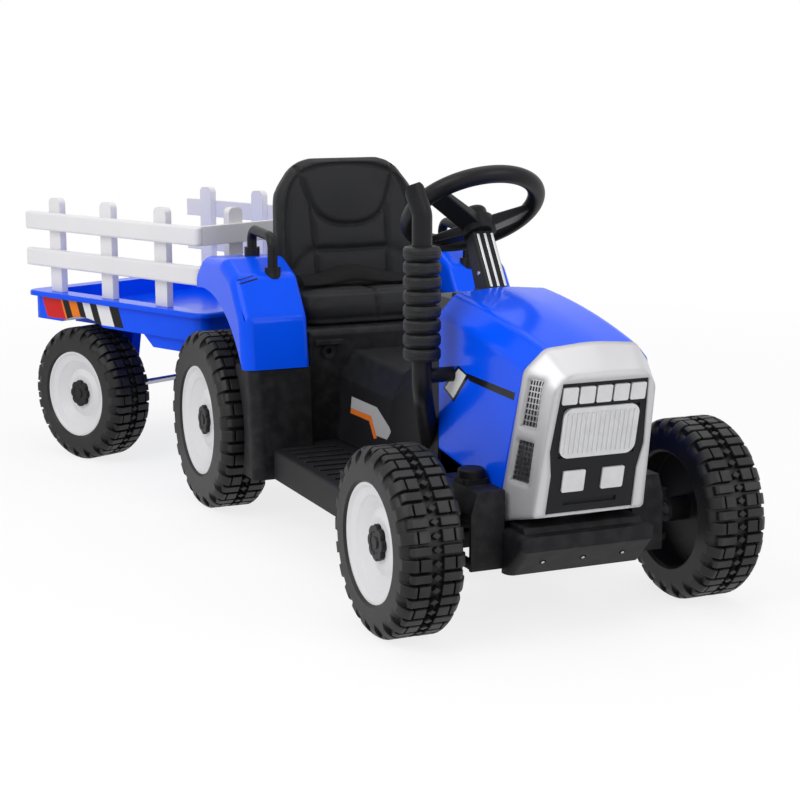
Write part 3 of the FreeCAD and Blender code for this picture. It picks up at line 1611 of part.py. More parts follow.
rocker = new_body("direction_rocker", lambda item: place_tractor(item, S.button_x, S.button_y, rocker_z))
rocker_end = S.rocker_long / 2
rocker_top = S.wall / 2 + S.rocker_proud
pad(rocker, "XZ_Plane", [[
    (-rocker_end, rocker_top), (0, rocker_top - S.rocker_proud / 2), (rocker_end, rocker_top),
    (rocker_end - S.rocker_proud, -S.rocker_deep), (S.rocker_proud - rocker_end, -S.rocker_deep),
]], -(S.rocker_wide / 2), S.rocker_wide)
rocker_pin_half = pin_reach - S.body_gap
pad(rocker, "XZ_Plane", [(NOUGHT, NOUGHT, S.rocker_pin)], -rocker_pin_half, rocker_pin_half * 2)

# Steering column cover, lofted from the dash to just below the wheel


def column_section(z, rear, front, half):
    corners = [vec(rear, -half, z), vec(front, -half, z), vec(front, half, z), vec(rear, half, z)]
    return rounded_wire(corners, [S.column_corner] * 4)


column_solid = Part.makeLoft([
    column_section(S.dash_top, S.column_base_rear, S.column_base_front, S.column_base_half),
    column_section(S.dash_top + S.column_corner, S.column_base_rear + S.wall, S.column_base_front - S.wall,
                   S.column_top_half),
    column_section(S.wheel_z, S.wheel_x - S.column_top_deep, S.wheel_x + S.column_top_deep,
                   S.column_top_half),
], True, True)
column_axis = vec(sine(S.column_lean), 0, -cosine(S.column_lean))
column_top = vec(S.wheel_x, 0, S.wheel_z) + column_axis * float(S.column_top_along)
above_column = Part.makeCylinder(
    float(S.rim_ring_radius), float(S.rim_ring_radius), column_top, column_axis * -1)
column_hole = Part.makeCylinder(
    float(S.column_bore), float(S.shaft_length), vec(S.wheel_x, 0, S.wheel_z), column_axis)
column_cover = feature_of("column_cover", column_solid.cut(column_hole).cut(above_column))
place_tractor(column_cover)

# Steering wheel, horn pad and shaft with its crank, drawn round the column's own axis

hub_top = S.wheel_hub_high / 2 - S.wheel_dish
hub_low = hub_top - S.wheel_hub_high
ring = Part.makeTorus(float(S.rim_ring_radius), float(S.rim_tube))
hub = rod_z(S.wheel_hub_radius, 0, 0, hub_low, hub_top)
spoke_points = [
    vec(S.wheel_hub_radius / 2, 0, hub_low + S.wall), vec(S.rim_ring_radius, 0, -S.spoke_depth / 2),
    vec(S.rim_ring_radius, 0, S.spoke_depth / 2), vec(S.wheel_hub_radius / 2, 0, hub_top)]
spoke_face = Part.Face(Part.makePolygon(spoke_points + [spoke_points[0]]))
spoke_face.translate(vec(0, -S.spoke_half, 0))
spoke = spoke_face.extrude(vec(0, S.spoke_half * 2, 0))
long_edges = [edge for edge in spoke.Edges if edge.Length > float(S.wheel_hub_radius)]
spoke = spoke.makeFillet(float(S.wall / 2), long_edges)
wheel_solid = ring.fuse(hub)
for spread in (0, S.spoke_spread, -S.spoke_spread):
    turned = spoke.copy()
    turned.rotate(Vector(), Z_AXIS, 180 + float(S.spoke_turn) + float(spread))
    wheel_solid = wheel_solid.fuse(turned)
pad_well = S.pad_plug + S.pad_travel + S.body_gap
pad_recess = rod_z(S.pad_radius + S.body_gap, 0, 0, hub_top - pad_well, hub_top + S.overrun * 2)
shaft_recess = rod_z(S.shaft_radius, 0, 0, hub_low - S.overrun, hub_low + S.shaft_socket)
wheel_solid = wheel_solid.cut(pad_recess).cut(shaft_recess)
steering_wheel = feature_of("steering_wheel", wheel_solid)
place_steering(steering_wheel)

horn_solid = rod_z(S.pad_radius, 0, 0, hub_top - S.pad_plug, hub_top + S.pad_rise)
horn_top = [edge for edge in horn_solid.Edges if near(edge.BoundBox.ZMin, horn_solid.BoundBox.ZMax)]
horn_pad = feature_of("horn_pad", horn_solid.makeFillet(float(S.pad_dome), horn_top))
place_steering(horn_pad)

shaft = new_body("steering_shaft", place_steering)
shaft_top = hub_low + S.shaft_socket
pad(shaft, "XY_Plane", [(NOUGHT, NOUGHT, S.shaft_radius)], -S.shaft_length, S.shaft_length + shaft_top)
pad(shaft, "XY_Plane", [[
    (-S.crank_radius - S.crank_pin, -S.shaft_radius), (S.shaft_radius, -S.shaft_radius),
    (S.shaft_radius, S.shaft_radius), (-S.crank_radius - S.crank_pin, S.shaft_radius),
]], -S.shaft_length - S.crank_depth, S.crank_depth)
pad(shaft, "XY_Plane", [(-S.crank_radius, NOUGHT, S.crank_pin)],
    -S.shaft_length - S.crank_depth - S.crank_pin_reach, S.crank_pin_reach + S.crank_depth)

# Steering knuckles, drawn from the king pin's foot

knuckle = new_body("knuckle_right", lambda item: place_tractor(item, S.wheelbase, -S.kingpin_half))
barrel_low = S.yoke_low + S.yoke_plate + S.body_gap
barrel_high = S.housing_roof - S.body_gap
pad(knuckle, "XY_Plane", [(NOUGHT, NOUGHT, S.barrel_radius)], barrel_low, barrel_high - barrel_low)
pad(knuckle, "XY_Plane", [(NOUGHT, NOUGHT, S.kingpin_radius)],
    S.yoke_low, S.housing_roof + S.yoke_plate - S.yoke_low)
pad(knuckle, "XY_Plane", [[
    (-S.arm_length, -S.arm_half), (0, -S.arm_half), (0, S.arm_half), (-S.arm_length, S.arm_half),
]], S.arm_low, S.arm_depth)
pad(knuckle, "XY_Plane", [(-S.arm_length, NOUGHT, S.arm_half)], S.arm_low, S.arm_depth)
pad(knuckle, "XY_Plane", [(-S.arm_length, NOUGHT, S.arm_pin)], S.arm_low, S.arm_depth + S.arm_pin_rise)
hub_reach = front_y + S.tyre_width / 2 - S.hub_inset - S.kingpin_half
collar_reach = front_y - S.tyre_width / 2 - S.kingpin_half - S.body_gap
pad(knuckle, "XZ_Plane", [(NOUGHT, S.front_tyre_radius, S.axle_radius)], NOUGHT, hub_reach + S.axle_end)
pad(knuckle, "XZ_Plane", [(NOUGHT, S.front_tyre_radius, S.knuckle_collar)], NOUGHT, collar_reach)
pad(knuckle, "XZ_Plane", [(NOUGHT, S.front_tyre_radius, S.nut_radius)],
    hub_reach + S.body_gap, S.nut_height)
mirror_tractor("knuckle_left", knuckle)

# Tie rod with its fork for the crank pin

tie_rod = new_body("tie_rod")
rod_low = S.arm_low + S.arm_depth + S.body_gap
rod_x = S.wheelbase - S.arm_length
fork_gap = S.crank_pin + S.rod_play
fork_front = S.bezel_rear_foot_x - S.fork_setback


def rectangle(x_low, x_high, y_low, y_high):
    return [(x_low, y_low), (x_high, y_low), (x_high, y_high), (x_low, y_high)]


pad(tie_rod, "XY_Plane", [rectangle(rod_x - S.rod_half, rod_x + S.rod_half, -S.kingpin_half, S.kingpin_half)],
    rod_low, S.rod_depth)
for side in (-1, 1):
    end = S.kingpin_half * side
    pad(tie_rod, "XY_Plane", [rectangle(rod_x - S.rod_pad_long, rod_x + S.rod_pad_long,
                                        end - S.rod_pad_half, end + S.rod_pad_half)], rod_low, S.rod_depth)
pad(tie_rod, "XY_Plane", [rectangle(rod_x, fork_front, -fork_gap - S.fork_wall, fork_gap + S.fork_wall)],
    rod_low, S.rod_depth)
for low, high in ((fork_gap, fork_gap + S.fork_wall), (-fork_gap - S.fork_wall, -fork_gap)):
    pad(tie_rod, "XY_Plane", [rectangle(S.fork_rear, fork_front, low, high)],
        rod_low, S.rod_depth + S.fork_rise)
slot_half = S.arm_pin + S.rod_play
slots = []
for side in (-1, 1):
    end = S.kingpin_half * side
    slots.append(rectangle(rod_x - S.rod_slot_half, rod_x + S.rod_slot_half + S.rod_play,
                           end - slot_half, end + slot_half))
pocket(tie_rod, "XY_Plane", slots, rod_low + S.rod_depth + S.overrun, S.rod_depth + S.overrun * 2)

# Exhaust: bent pipe with a stub to the hood, and the ribbed sleeve round it

exhaust_points = [
    vec(S.exhaust_foot_x, -S.dash_half + S.wall, S.exhaust_foot_z),
    vec(S.exhaust_x, -S.exhaust_y, S.exhaust_knee_z),
    vec(S.exhaust_x, -S.exhaust_y, S.exhaust_bend_z),
    vec(S.exhaust_x - S.exhaust_tip_out / 3, -S.exhaust_y - S.exhaust_tip_out, S.exhaust_tip_z),
]
exhaust_rounds = [S.exhaust_knee_round, S.exhaust_bend_round]
pipe = tube_along(exhaust_points, exhaust_rounds, S.exhaust_pipe)
stub = rod_y(S.exhaust_stub, S.exhaust_x, S.exhaust_stub_z, -S.exhaust_y, -S.hood_rear_half + S.overrun * 2)
pipe = pipe.fuse(stub).cut(tube_along(exhaust_points, exhaust_rounds, S.exhaust_bore))
pipe = pipe.cut(cover_outer).cut(hood_outer)
mitre_size = S.exhaust_pipe * 6
mitre = Part.makeBox(float(mitre_size), float(mitre_size), float(mitre_size))
mitre.translate(vec(-mitre_size / 2, -mitre_size / 2, 0))
mitre.rotate(Vector(), Y_AXIS, -float(S.exhaust_mitre))
mitre.translate(exhaust_points[-1] - vec(0, 0, S.exhaust_pipe))
pipe = pipe.cut(mitre)
pipe = max(pipe.Solids, key=lambda solid: solid.Volume)
exhaust_pipe = feature_of("exhaust_pipe", pipe)
place_tractor(exhaust_pipe)

bellows_pitch = (S.bellows_high - S.bellows_low) / S.bellows_ribs
rib_shoulder = bellows_pitch * S.bellows_shoulder_share
rib_edge = (S.bellows_groove + S.bellows_radius * 2) / 3
rings = []
for index in range(int(float(S.bellows_ribs))):
    foot = S.bellows_low + bellows_pitch * index
    for up, radius in (
            (NOUGHT, S.bellows_groove),
            (rib_shoulder / 2, rib_edge),
            (rib_shoulder * 2, S.bellows_radius),
            (bellows_pitch - rib_shoulder * 2.5, S.bellows_radius),
            (bellows_pitch - rib_shoulder, rib_edge),
            (bellows_pitch - rib_shoulder / 2, S.bellows_groove)):
        centre = vec(S.exhaust_x, -S.exhaust_y, foot + up)
        rings.append(Part.Wire(Part.makeCircle(float(radius), centre, Z_AXIS)))
sleeve = Part.makeLoft(rings, True, True)
sleeve = sleeve.cut(rod_z(S.exhaust_pipe, S.exhaust_x, -S.exhaust_y,
                          S.bellows_low - S.overrun, S.bellows_high + S.overrun))
bellows = feature_of("exhaust_bellows", sleeve)
place_tractor(bellows)

# Seat back and cushion, swelling forms with sewn channels


def on_back(across, up, out):
    lean = math.radians(float(S.back_lean))
    upward = Vector(-math.sin(lean), 0, math.cos(lean))
    outward = Y_AXIS.cross(upward)
    foot = vec(S.back_foot_x, 0, S.pedestal_top)
    return foot + Y_AXIS * float(across) + upward * float(up) + outward * float(out)


def back_section(out, inset):
    right = [
        (S.back_foot_half - inset, inset - S.back_corner),
        (S.seat_half - inset, S.back_waist_high),
        (S.back_shoulder_half - inset, S.back_shoulder_high),
        (S.back_top_half - inset, S.back_high - inset),
    ]
    points = [on_back(-y, up, out) for y, up in right]
    points += [on_back(y, up, out) for y, up in reversed(right)]
    soft = S.back_corner
    small = S.back_roll
    wide = S.back_top_round
    return rounded_wire(points, [small, soft, wide, wide, wide, wide, soft, small])


back_solid = Part.makeLoft([
    back_section(-S.back_depth, S.back_draw),
    back_section(S.back_roll - S.back_depth, NOUGHT),
    back_section(-S.back_roll, NOUGHT),
    back_section(NOUGHT, S.back_draw),
], True, True)
seat_wide = S.seat_half + S.overrun
back_solid = back_solid.cut(block(-S.pan_rear, S.pedestal_front, -seat_wide, seat_wide,
                                  S.pan_top, S.pedestal_top))
for up in (S.channel_low, S.channel_high):
    start = on_back(-S.channel_half, up, NOUGHT)
    groove = Part.makeCylinder(float(S.seam_deep), float(S.channel_half * 2), start, Y_AXIS)
    back_solid = back_solid.cut(groove)
yoke_arc = Part.Arc(
    on_back(-S.back_top_half, S.back_high - S.back_corner * 2, 0),
    on_back(0, S.channel_high + S.back_corner, 0),
    on_back(S.back_top_half, S.back_high - S.back_corner * 2, 0)).toShape()
arc_start = yoke_arc.Curve.value(yoke_arc.FirstParameter)
arc_heading = yoke_arc.tangentAt(yoke_arc.FirstParameter)
arc_ring = Part.Wire(Part.makeCircle(float(S.seam_deep), arc_start, arc_heading))
back_solid = back_solid.cut(Part.Wire(yoke_arc).makePipeShell([arc_ring], True, False))
seat_back = feature_of("seat_back", back_solid)
place_tractor(seat_back)


def cushion_section(up, inset, soft):
    low = S.cushion_rear + inset
    high = S.cushion_front - inset
    half = S.seat_half - inset
    z = S.pedestal_top + up
    corners = [vec(low, -half, z), vec(high, -half, z), vec(high, half, z), vec(low, half, z)]
    return rounded_wire(corners, [soft] * 4)


cushion_solid = Part.makeLoft([
    cushion_section(NOUGHT, S.cushion_draw, S.cushion_corner),
    cushion_section(S.cushion_high / 2, NOUGHT, S.cushion_corner),
    cushion_section(S.cushion_high - S.cushion_draw, S.cushion_draw, S.cushion_corner),
    cushion_section(S.cushion_high, S.cushion_crown, S.cushion_corner - S.cushion_draw),
], True, True)
seat_top = S.pedestal_top + S.cushion_high
seam = rod_y(S.seam_deep, S.cushion_seam_x, seat_top, -seat_wide, seat_wide)
cushion_solid = cushion_solid.cut(back_solid).cut(seam)
cushion_solid = max(cushion_solid.Solids, key=lambda solid: solid.Volume)
cushion = feature_of("seat_cushion", cushion_solid)
place_tractor(cushion)

# Seat belt, a webbing strip lying across the cushion

belt = doc.addObject("Part::Box", "seat_belt")
keep(belt, "seat_belt")
bind(belt, "Length", S.belt_wide)
bind(belt, "Width", S.belt_half * 2)
bind(belt, "Height", S.belt_depth)
place_tractor(belt, S.cushion_seam_x - S.seam_deep * 2 - S.belt_wide, -S.belt_half, seat_top)

# Rear axle, gearboxes with their motors, battery


def axle_with_nuts(reach, height, x):
    rod = rod_y(S.axle_radius, x, height, -reach - S.axle_end, reach + S.axle_end)
    pieces = [rod]
    for side in (-1, 1):
        low = (reach + S.body_gap) * side
        ends = sorted([low, low + S.nut_height * side], key=float)
        nut = rod_y(S.nut_radius, x, height, ends[0], ends[1])
        pieces.append(nut.cut(rod))
    return Part.makeCompound(pieces)


rear_hub = rear_y + S.tyre_width / 2 - S.hub_inset
rear_axle = feature_of("rear_axle", axle_with_nuts(rear_hub, S.rear_tyre_radius, NOUGHT))
place_tractor(rear_axle)


def gearbox():
    inner = -S.pedestal_half
    outer = inner - S.gearbox_depth
    round_axle = rod_y(S.gearbox_axle_round, 0, S.rear_tyre_radius, outer, inner)
    round_motor = rod_y(S.gearbox_motor_round, S.motor_x, S.motor_z, outer, inner)
    run = vec(S.motor_x, 0, S.motor_z - S.rear_tyre_radius)
    rise = Vector(-run.z, 0, run.x).normalize()
    axle = vec(0, outer, S.rear_tyre_radius)
    motor = vec(S.motor_x, outer, S.motor_z)
    corners = [axle + rise * float(S.gearbox_axle_round), axle - rise * float(S.gearbox_axle_round),
               motor - rise * float(S.gearbox_motor_round), motor + rise * float(S.gearbox_motor_round)]
    web = Part.Face(Part.makePolygon(corners + [corners[0]])).extrude(vec(0, S.gearbox_depth, 0))
    boss_end = S.body_gap + S.tyre_width / 2 - rear_y
    boss = rod_y(S.hub_radius, 0, S.rear_tyre_radius, boss_end, outer)
    motor_can = rod_y(S.motor_radius, S.motor_x, S.motor_z, inner, inner + S.motor_long)
    case = round_axle.fuse(round_motor).fuse(web).fuse(boss).fuse(motor_can)
    return case.cut(rod_y(S.axle_radius, 0, S.rear_tyre_radius, -rear_hub, rear_hub))


right_gearbox = gearbox()
gearboxes = feature_of("gearboxes", Part.makeCompound(
    [right_gearbox, right_gearbox.mirror(Vector(), Y_AXIS)]))
place_tractor(gearboxes)

battery = new_body("battery")
pad(battery, "XY_Plane", [rectangle(S.battery_rear, S.battery_front, -S.battery_half, S.battery_half)],
    S.pan_top, S.battery_high)
terminal_y = S.battery_half / 2
pad(battery, "XY_Plane", [
    rectangle(S.battery_rear + S.battery_terminal, S.battery_rear + S.battery_terminal * 3,
              side * terminal_y - S.battery_terminal, side * terminal_y + S.battery_terminal)
    for side in (-1, 1)], S.pan_top + S.battery_high, S.battery_terminal)

# Tow bracket and hitch pin

bracket = new_body("tow_bracket")
bracket_root = -S.pan_rear - S.bracket_plate
bracket_end = -S.hitch_offset - S.bracket_overhang
bracket_high = S.bracket_low + S.bracket_plate + S.bracket_gap
pad(bracket, "XZ_Plane", [[
    (bracket_root, S.bracket_low - S.bracket_plate * 2), (-S.pan_rear, S.bracket_low - S.bracket_plate * 2),
    (-S.pan_rear, bracket_high + S.bracket_plate), (bracket_root, bracket_high + S.bracket_plate),
]], -S.bracket_root_half, S.bracket_root_half * 2)
for low in (S.bracket_low, bracket_high):
    pad(bracket, "XY_Plane", [rectangle(bracket_end, -S.pan_rear, -S.bracket_half, S.bracket_half)],
        low, S.bracket_plate)
fillet(bracket, S.bracket_overhang / 2, lambda edge: runs_along(edge, Z_AXIS)
       and near(edge.CenterOfMass.x, bracket_end))
pocket(bracket, "XY_Plane", [(-S.hitch_offset, NOUGHT, S.hitch_pin + S.running_fit)],
       bracket_high + S.bracket_plate + S.overrun, S.bracket_gap + S.bracket_plate * 2 + S.overrun * 2)

hitch = new_body("hitch_pin", lambda item: place_tractor(item, -S.hitch_offset))
pin_seat = bracket_high + S.bracket_plate
pad(hitch, "XY_Plane", [(NOUGHT, NOUGHT, S.hitch_pin)],
    S.bracket_low - S.hitch_pin_tail, pin_seat - S.bracket_low + S.hitch_pin_tail)
pad(hitch, "XY_Plane", [(NOUGHT, NOUGHT, S.hitch_pin_head)], pin_seat, S.hitch_pin_head_high)

# Trailer bed with its keel, axle legs and wheel arches

bed = new_body("trailer_bed", place_trailer)
pad(bed, "XY_Plane", [rectangle(-S.bed_rear, -S.bed_front, -S.bed_half, S.bed_half)],
    S.bed_foot, S.bed_top - S.bed_foot)
fillet(bed, S.bed_corner, lambda edge: runs_along(edge, Z_AXIS))
rim_half = S.bed_half + S.bed_rim_out
rim_front = S.bed_rim_out - S.bed_front
rim_rear = -S.bed_rear - S.bed_rim_out
pad(bed, "XY_Plane", [rectangle(rim_rear, rim_front, -rim_half, rim_half)],
    S.bed_top - S.bed_rim_high, S.bed_rim_high)
fillet(bed, S.bed_corner, lambda edge: runs_along(edge, Z_AXIS)
       and near(abs(edge.CenterOfMass.y), rim_half))
pad(bed, "XY_Plane", [rectangle(-S.belly_rear, -S.belly_front, -S.belly_half, S.belly_half)],
    S.belly_foot, S.bed_floor - S.belly_foot)
pad(bed, "XZ_Plane", [[
    (-S.apron_rear, S.bed_foot + S.bed_rim_high), (S.apron_slope - S.apron_rear, S.apron_foot),
    (-S.apron_front, S.apron_foot), (-S.apron_front, S.bed_foot + S.bed_rim_high),
]], -S.apron_half, S.apron_half * 2)
pad(bed, "XZ_Plane", [[
    (-S.keel_top_rear, S.bed_foot), (-S.keel_rear, S.keel_foot),
    (-S.keel_front, S.keel_foot), (-S.keel_top_front, S.bed_foot),
]], -S.keel_half, S.keel_half * 2)
for start in (S.axle_leg_inner, -S.axle_leg_outer):
    pad(bed, "XZ_Plane", [[
        (-S.trailer_axle - S.axle_leg_half, S.trailer_tyre_radius - S.axle_leg_low),
        (-S.trailer_axle + S.axle_leg_half, S.trailer_tyre_radius - S.axle_leg_low),
        (-S.trailer_axle + S.axle_leg_half * 2, S.bed_foot),
        (-S.trailer_axle - S.axle_leg_half * 2, S.bed_foot),
    ]], start, S.axle_leg_outer - S.axle_leg_inner)
arch = S.trailer_tyre_radius + S.arch_clear
arch_deep = S.bed_half - S.belly_half + S.overrun
pocket(bed, "XZ_Plane", [(-S.trailer_axle, S.trailer_tyre_radius, arch)], S.bed_half + S.overrun, arch_deep)
pocket(bed, "XZ_Plane", [(-S.trailer_axle, S.trailer_tyre_radius, arch)], -S.belly_half, arch_deep)
pocket(bed, "XZ_Plane", [(-S.trailer_axle, S.trailer_tyre_radius, S.axle_radius)],
       S.axle_leg_outer + S.overrun, (S.axle_leg_outer + S.overrun) * 2)
inner_half = rim_half - S.bed_rim_wide
inner_rear = rim_rear + S.bed_rim_wide
inner_front = rim_front - S.bed_rim_wide
pocket(bed, "XY_Plane", [rectangle(inner_rear, inner_front, -inner_half, inner_half)],
       S.bed_top, S.bed_top - S.bed_floor)
fillet(bed, S.bed_corner / 2, lambda edge: runs_along(edge, Z_AXIS)
       and near(abs(edge.CenterOfMass.y), inner_half))
drawbar_z = S.bracket_low + S.bracket_plate + S.bracket_gap / 2
pocket(bed, "YZ_Plane", [(NOUGHT, drawbar_z, S.drawbar_radius)], -S.keel_front + S.apron_slope,
       S.drawbar_bore + S.apron_slope)
fillet(bed, S.bed_rim_round, lambda edge: near(edge.BoundBox.ZMin, edge.BoundBox.ZMax)
       and near(edge.BoundBox.ZMax, S.bed_top)
       and abs(edge.CenterOfMass.y) > float(rim_half - S.overrun))

# Drawbar with its eye

eye_low = drawbar_z - S.eye_depth / 2
drawbar_rod = Part.makeCylinder(
    float(S.drawbar_radius), float(S.keel_front + S.drawbar_bore), vec(0, 0, drawbar_z), -X_AXIS)
drawbar_solid = drawbar_rod.fuse(rod_z(S.eye_radius, 0, 0, eye_low, eye_low + S.eye_depth))
drawbar_solid = drawbar_solid.cut(rod_z(S.hitch_pin + S.running_fit, 0, 0, eye_low - S.overrun,
                                        eye_low + S.eye_depth + S.overrun))
drawbar = feature_of("drawbar", drawbar_solid)
place_trailer(drawbar)

# Trailer axle

trailer_hub = trailer_y + S.tyre_width / 2 - S.hub_inset
trailer_axle = feature_of("trailer_axle", axle_with_nuts(trailer_hub, S.trailer_tyre_radius, -S.trailer_axle))
place_trailer(trailer_axle)

# Fences

side_fence = new_body("fence_right", place_trailer)
post_half = S.fence_post_wide / 2
post_loops = []
for index in (0, 1, 2):
    middle = -S.fence_first_post - S.fence_post_pitch * index
    post_loops.append([(middle - post_half, S.bed_top), (middle + post_half, S.bed_top),
                       (middle + post_half, S.fence_post_top), (middle - post_half, S.fence_post_top)])
rail_loops = []
for low in (S.fence_top_rail, S.fence_low_rail):
    rail_loops.append([(-S.fence_rear, low), (-S.fence_front, low),
                       (-S.fence_front, low + S.fence_rail_high), (-S.fence_rear, low + S.fence_rail_high)])
post_inner = S.fence_post_face - S.fence_post_depth
pad(side_fence, "XZ_Plane", rail_loops, S.fence_post_face, S.fence_rail_depth)
pad(side_fence, "XZ_Plane", post_loops, post_inner, S.fence_post_depth)
fillet(side_fence, S.fence_corner, lambda edge: runs_along(edge, Y_AXIS)
       and near(edge.CenterOfMass.z, S.fence_post_top))
rail_face = S.fence_post_face + S.fence_rail_depth
fillet(side_fence, S.fence_corner, lambda edge: runs_along(edge, Z_AXIS)
       and near(edge.CenterOfMass.x, -S.fence_front) and near(edge.CenterOfMass.y, -rail_face))
fillet(side_fence, S.fence_round, lambda edge: runs_along(edge, X_AXIS)
       and near(edge.CenterOfMass.y, -rail_face))
mirror_trailer("fence_left", side_fence)

front_fence = new_body("fence_front", place_trailer)
front_half = S.fence_post_face - S.body_gap
front_rails = []
for low in (S.fence_top_rail, S.fence_low_rail):
    front_rails.append([(-front_half, low), (front_half, low),
                        (front_half, low + S.fence_rail_high), (-front_half, low + S.fence_rail_high)])
front_posts = []
for side in (-1, 1):
    middle = S.fence_front_post * side
    front_posts.append([(middle - post_half, S.bed_top), (middle + post_half, S.bed_top),
                        (middle + post_half, S.fence_post_top), (middle - post_half, S.fence_post_top)])
front_face = -S.fence_front - S.fence_rail_depth
pad(front_fence, "YZ_Plane", front_rails, front_face, S.fence_rail_depth)
pad(front_fence, "YZ_Plane", front_posts, front_face - S.fence_post_depth, S.fence_post_depth)
fillet(front_fence, S.fence_corner, lambda edge: runs_along(edge, X_AXIS)
       and near(edge.CenterOfMass.z, S.fence_post_top))
doc.recompute()

os.makedirs("parts", exist_ok=True)
for node in nodes:
    if "Invalid" in node.State or "Error" in node.State or node.Shape.isNull() or not node.Shape.isValid():
        raise RuntimeError(f"{node.Label} could not be built")
for node in nodes:
    node.Shape.exportStep(f"parts/{node.Label}.step")
print(len(nodes), "pieces written")
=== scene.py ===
import math

import bmesh
import bpy
import numpy as np
from mathutils import Matrix, Vector


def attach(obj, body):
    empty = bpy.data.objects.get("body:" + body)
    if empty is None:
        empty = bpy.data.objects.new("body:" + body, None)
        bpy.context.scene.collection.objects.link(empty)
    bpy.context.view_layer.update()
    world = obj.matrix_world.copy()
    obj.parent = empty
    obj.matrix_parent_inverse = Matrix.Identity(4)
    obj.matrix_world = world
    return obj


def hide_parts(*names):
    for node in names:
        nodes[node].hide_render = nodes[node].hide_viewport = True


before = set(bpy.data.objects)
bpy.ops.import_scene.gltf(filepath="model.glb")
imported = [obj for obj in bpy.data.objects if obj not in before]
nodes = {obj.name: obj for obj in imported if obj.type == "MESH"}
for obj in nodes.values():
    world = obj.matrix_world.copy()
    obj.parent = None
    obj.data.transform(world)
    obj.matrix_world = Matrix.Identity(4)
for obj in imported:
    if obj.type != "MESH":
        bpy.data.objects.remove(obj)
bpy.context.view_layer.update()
scene = bpy.context.scene

MM = 0.001
DATUM = Vector((-59.78, 61.9, 0)) * MM
HITCH = DATUM + Vector((-175, 0, 0)) * MM
TRAILER_TURN = math.radians(24)


def at(x, y, z):
    """A point given in mm from the ground under the rear axle, in the row frame."""
    return DATUM + Vector((x, y, z)) * MM


def at_trailer(x, y, z):
    """A point given in mm from the ground under the hitch, along the trailer's own axes."""
    turned = Matrix.Rotation(TRAILER_TURN, 3, "Z") @ Vector((x, y, z))
    return HITCH + turned * MM


# Colours

BLUE = (0.0006, 0.082, 0.9, 1)
BLACK = (0.0078, 0.008, 0.0094, 1)
WHITE = (0.69, 0.68, 0.7, 1)
FENCE_GAIN = 1.1
SILVER = (0.58, 0.575, 0.595, 1)
# Black print, also used as the painted shade inside the fender slits.
INK_AND_SLIT_SHADE = (0.008, 0.008, 0.009, 1)
PAPER = (0.78, 0.78, 0.79, 1)
BAND_GREY = (0.36, 0.36, 0.37, 1)
BAND_ORANGE = (0.62, 0.15, 0.02, 1)
STRIPE_RED = (0.62, 0.012, 0.012, 1)
STRIPE_ORANGE = (0.85, 0.2, 0.008, 1)
# Near-black painted shade for the insides of the bumper's screw holes.
HOLE_SHADE = (0.003, 0.003, 0.003, 1)
TYRE_DARK = (0.0065, 0.0065, 0.007, 1)
TYRE_PALE = (0.0105, 0.0105, 0.011, 1)
TYRE_EDGE_PALE = (0.034, 0.034, 0.034, 1)
LENS_DARK = (0.54, 0.54, 0.55, 1)
LENS_PALE = (0.6, 0.6, 0.61, 1)
ZINC = (0.46, 0.47, 0.5, 1)
CHROME = (0.7, 0.71, 0.73, 1)
PLATED = (0.6, 0.6, 0.61, 1)
LEATHER_DARK = (0.0085, 0.0088, 0.01, 1)
LEATHER_PALE = (0.0145, 0.0149, 0.0164, 1)
LEATHER_WORN = (0.05, 0.05, 0.053, 1)
WEBBING_DARK = (0.005, 0.005, 0.0056, 1)
WEBBING_PALE = (0.0105, 0.0105, 0.0112, 1)
FLOOR_PALE = (0.93, 0.93, 0.93, 1)
PURE_WHITE = (1, 1, 1, 1)

# Materials

MIX_SHARE, MIX_ONE, MIX_OTHER, MIX_RESULT = 0, 6, 7, 2
NOISE_MIDDLE = (0.3, 0.7)
NOISE_WIDE = (0.2, 0.8)
EDGE_FROM, EDGE_TO, RUBBED_TO = 0.52, 0.6, 0.62
RUBBED_LIFT, RUBBED_GAIN = 0.03, 1.3
BEVEL_SAMPLES = 4
MARK_SOFT = 0.0004


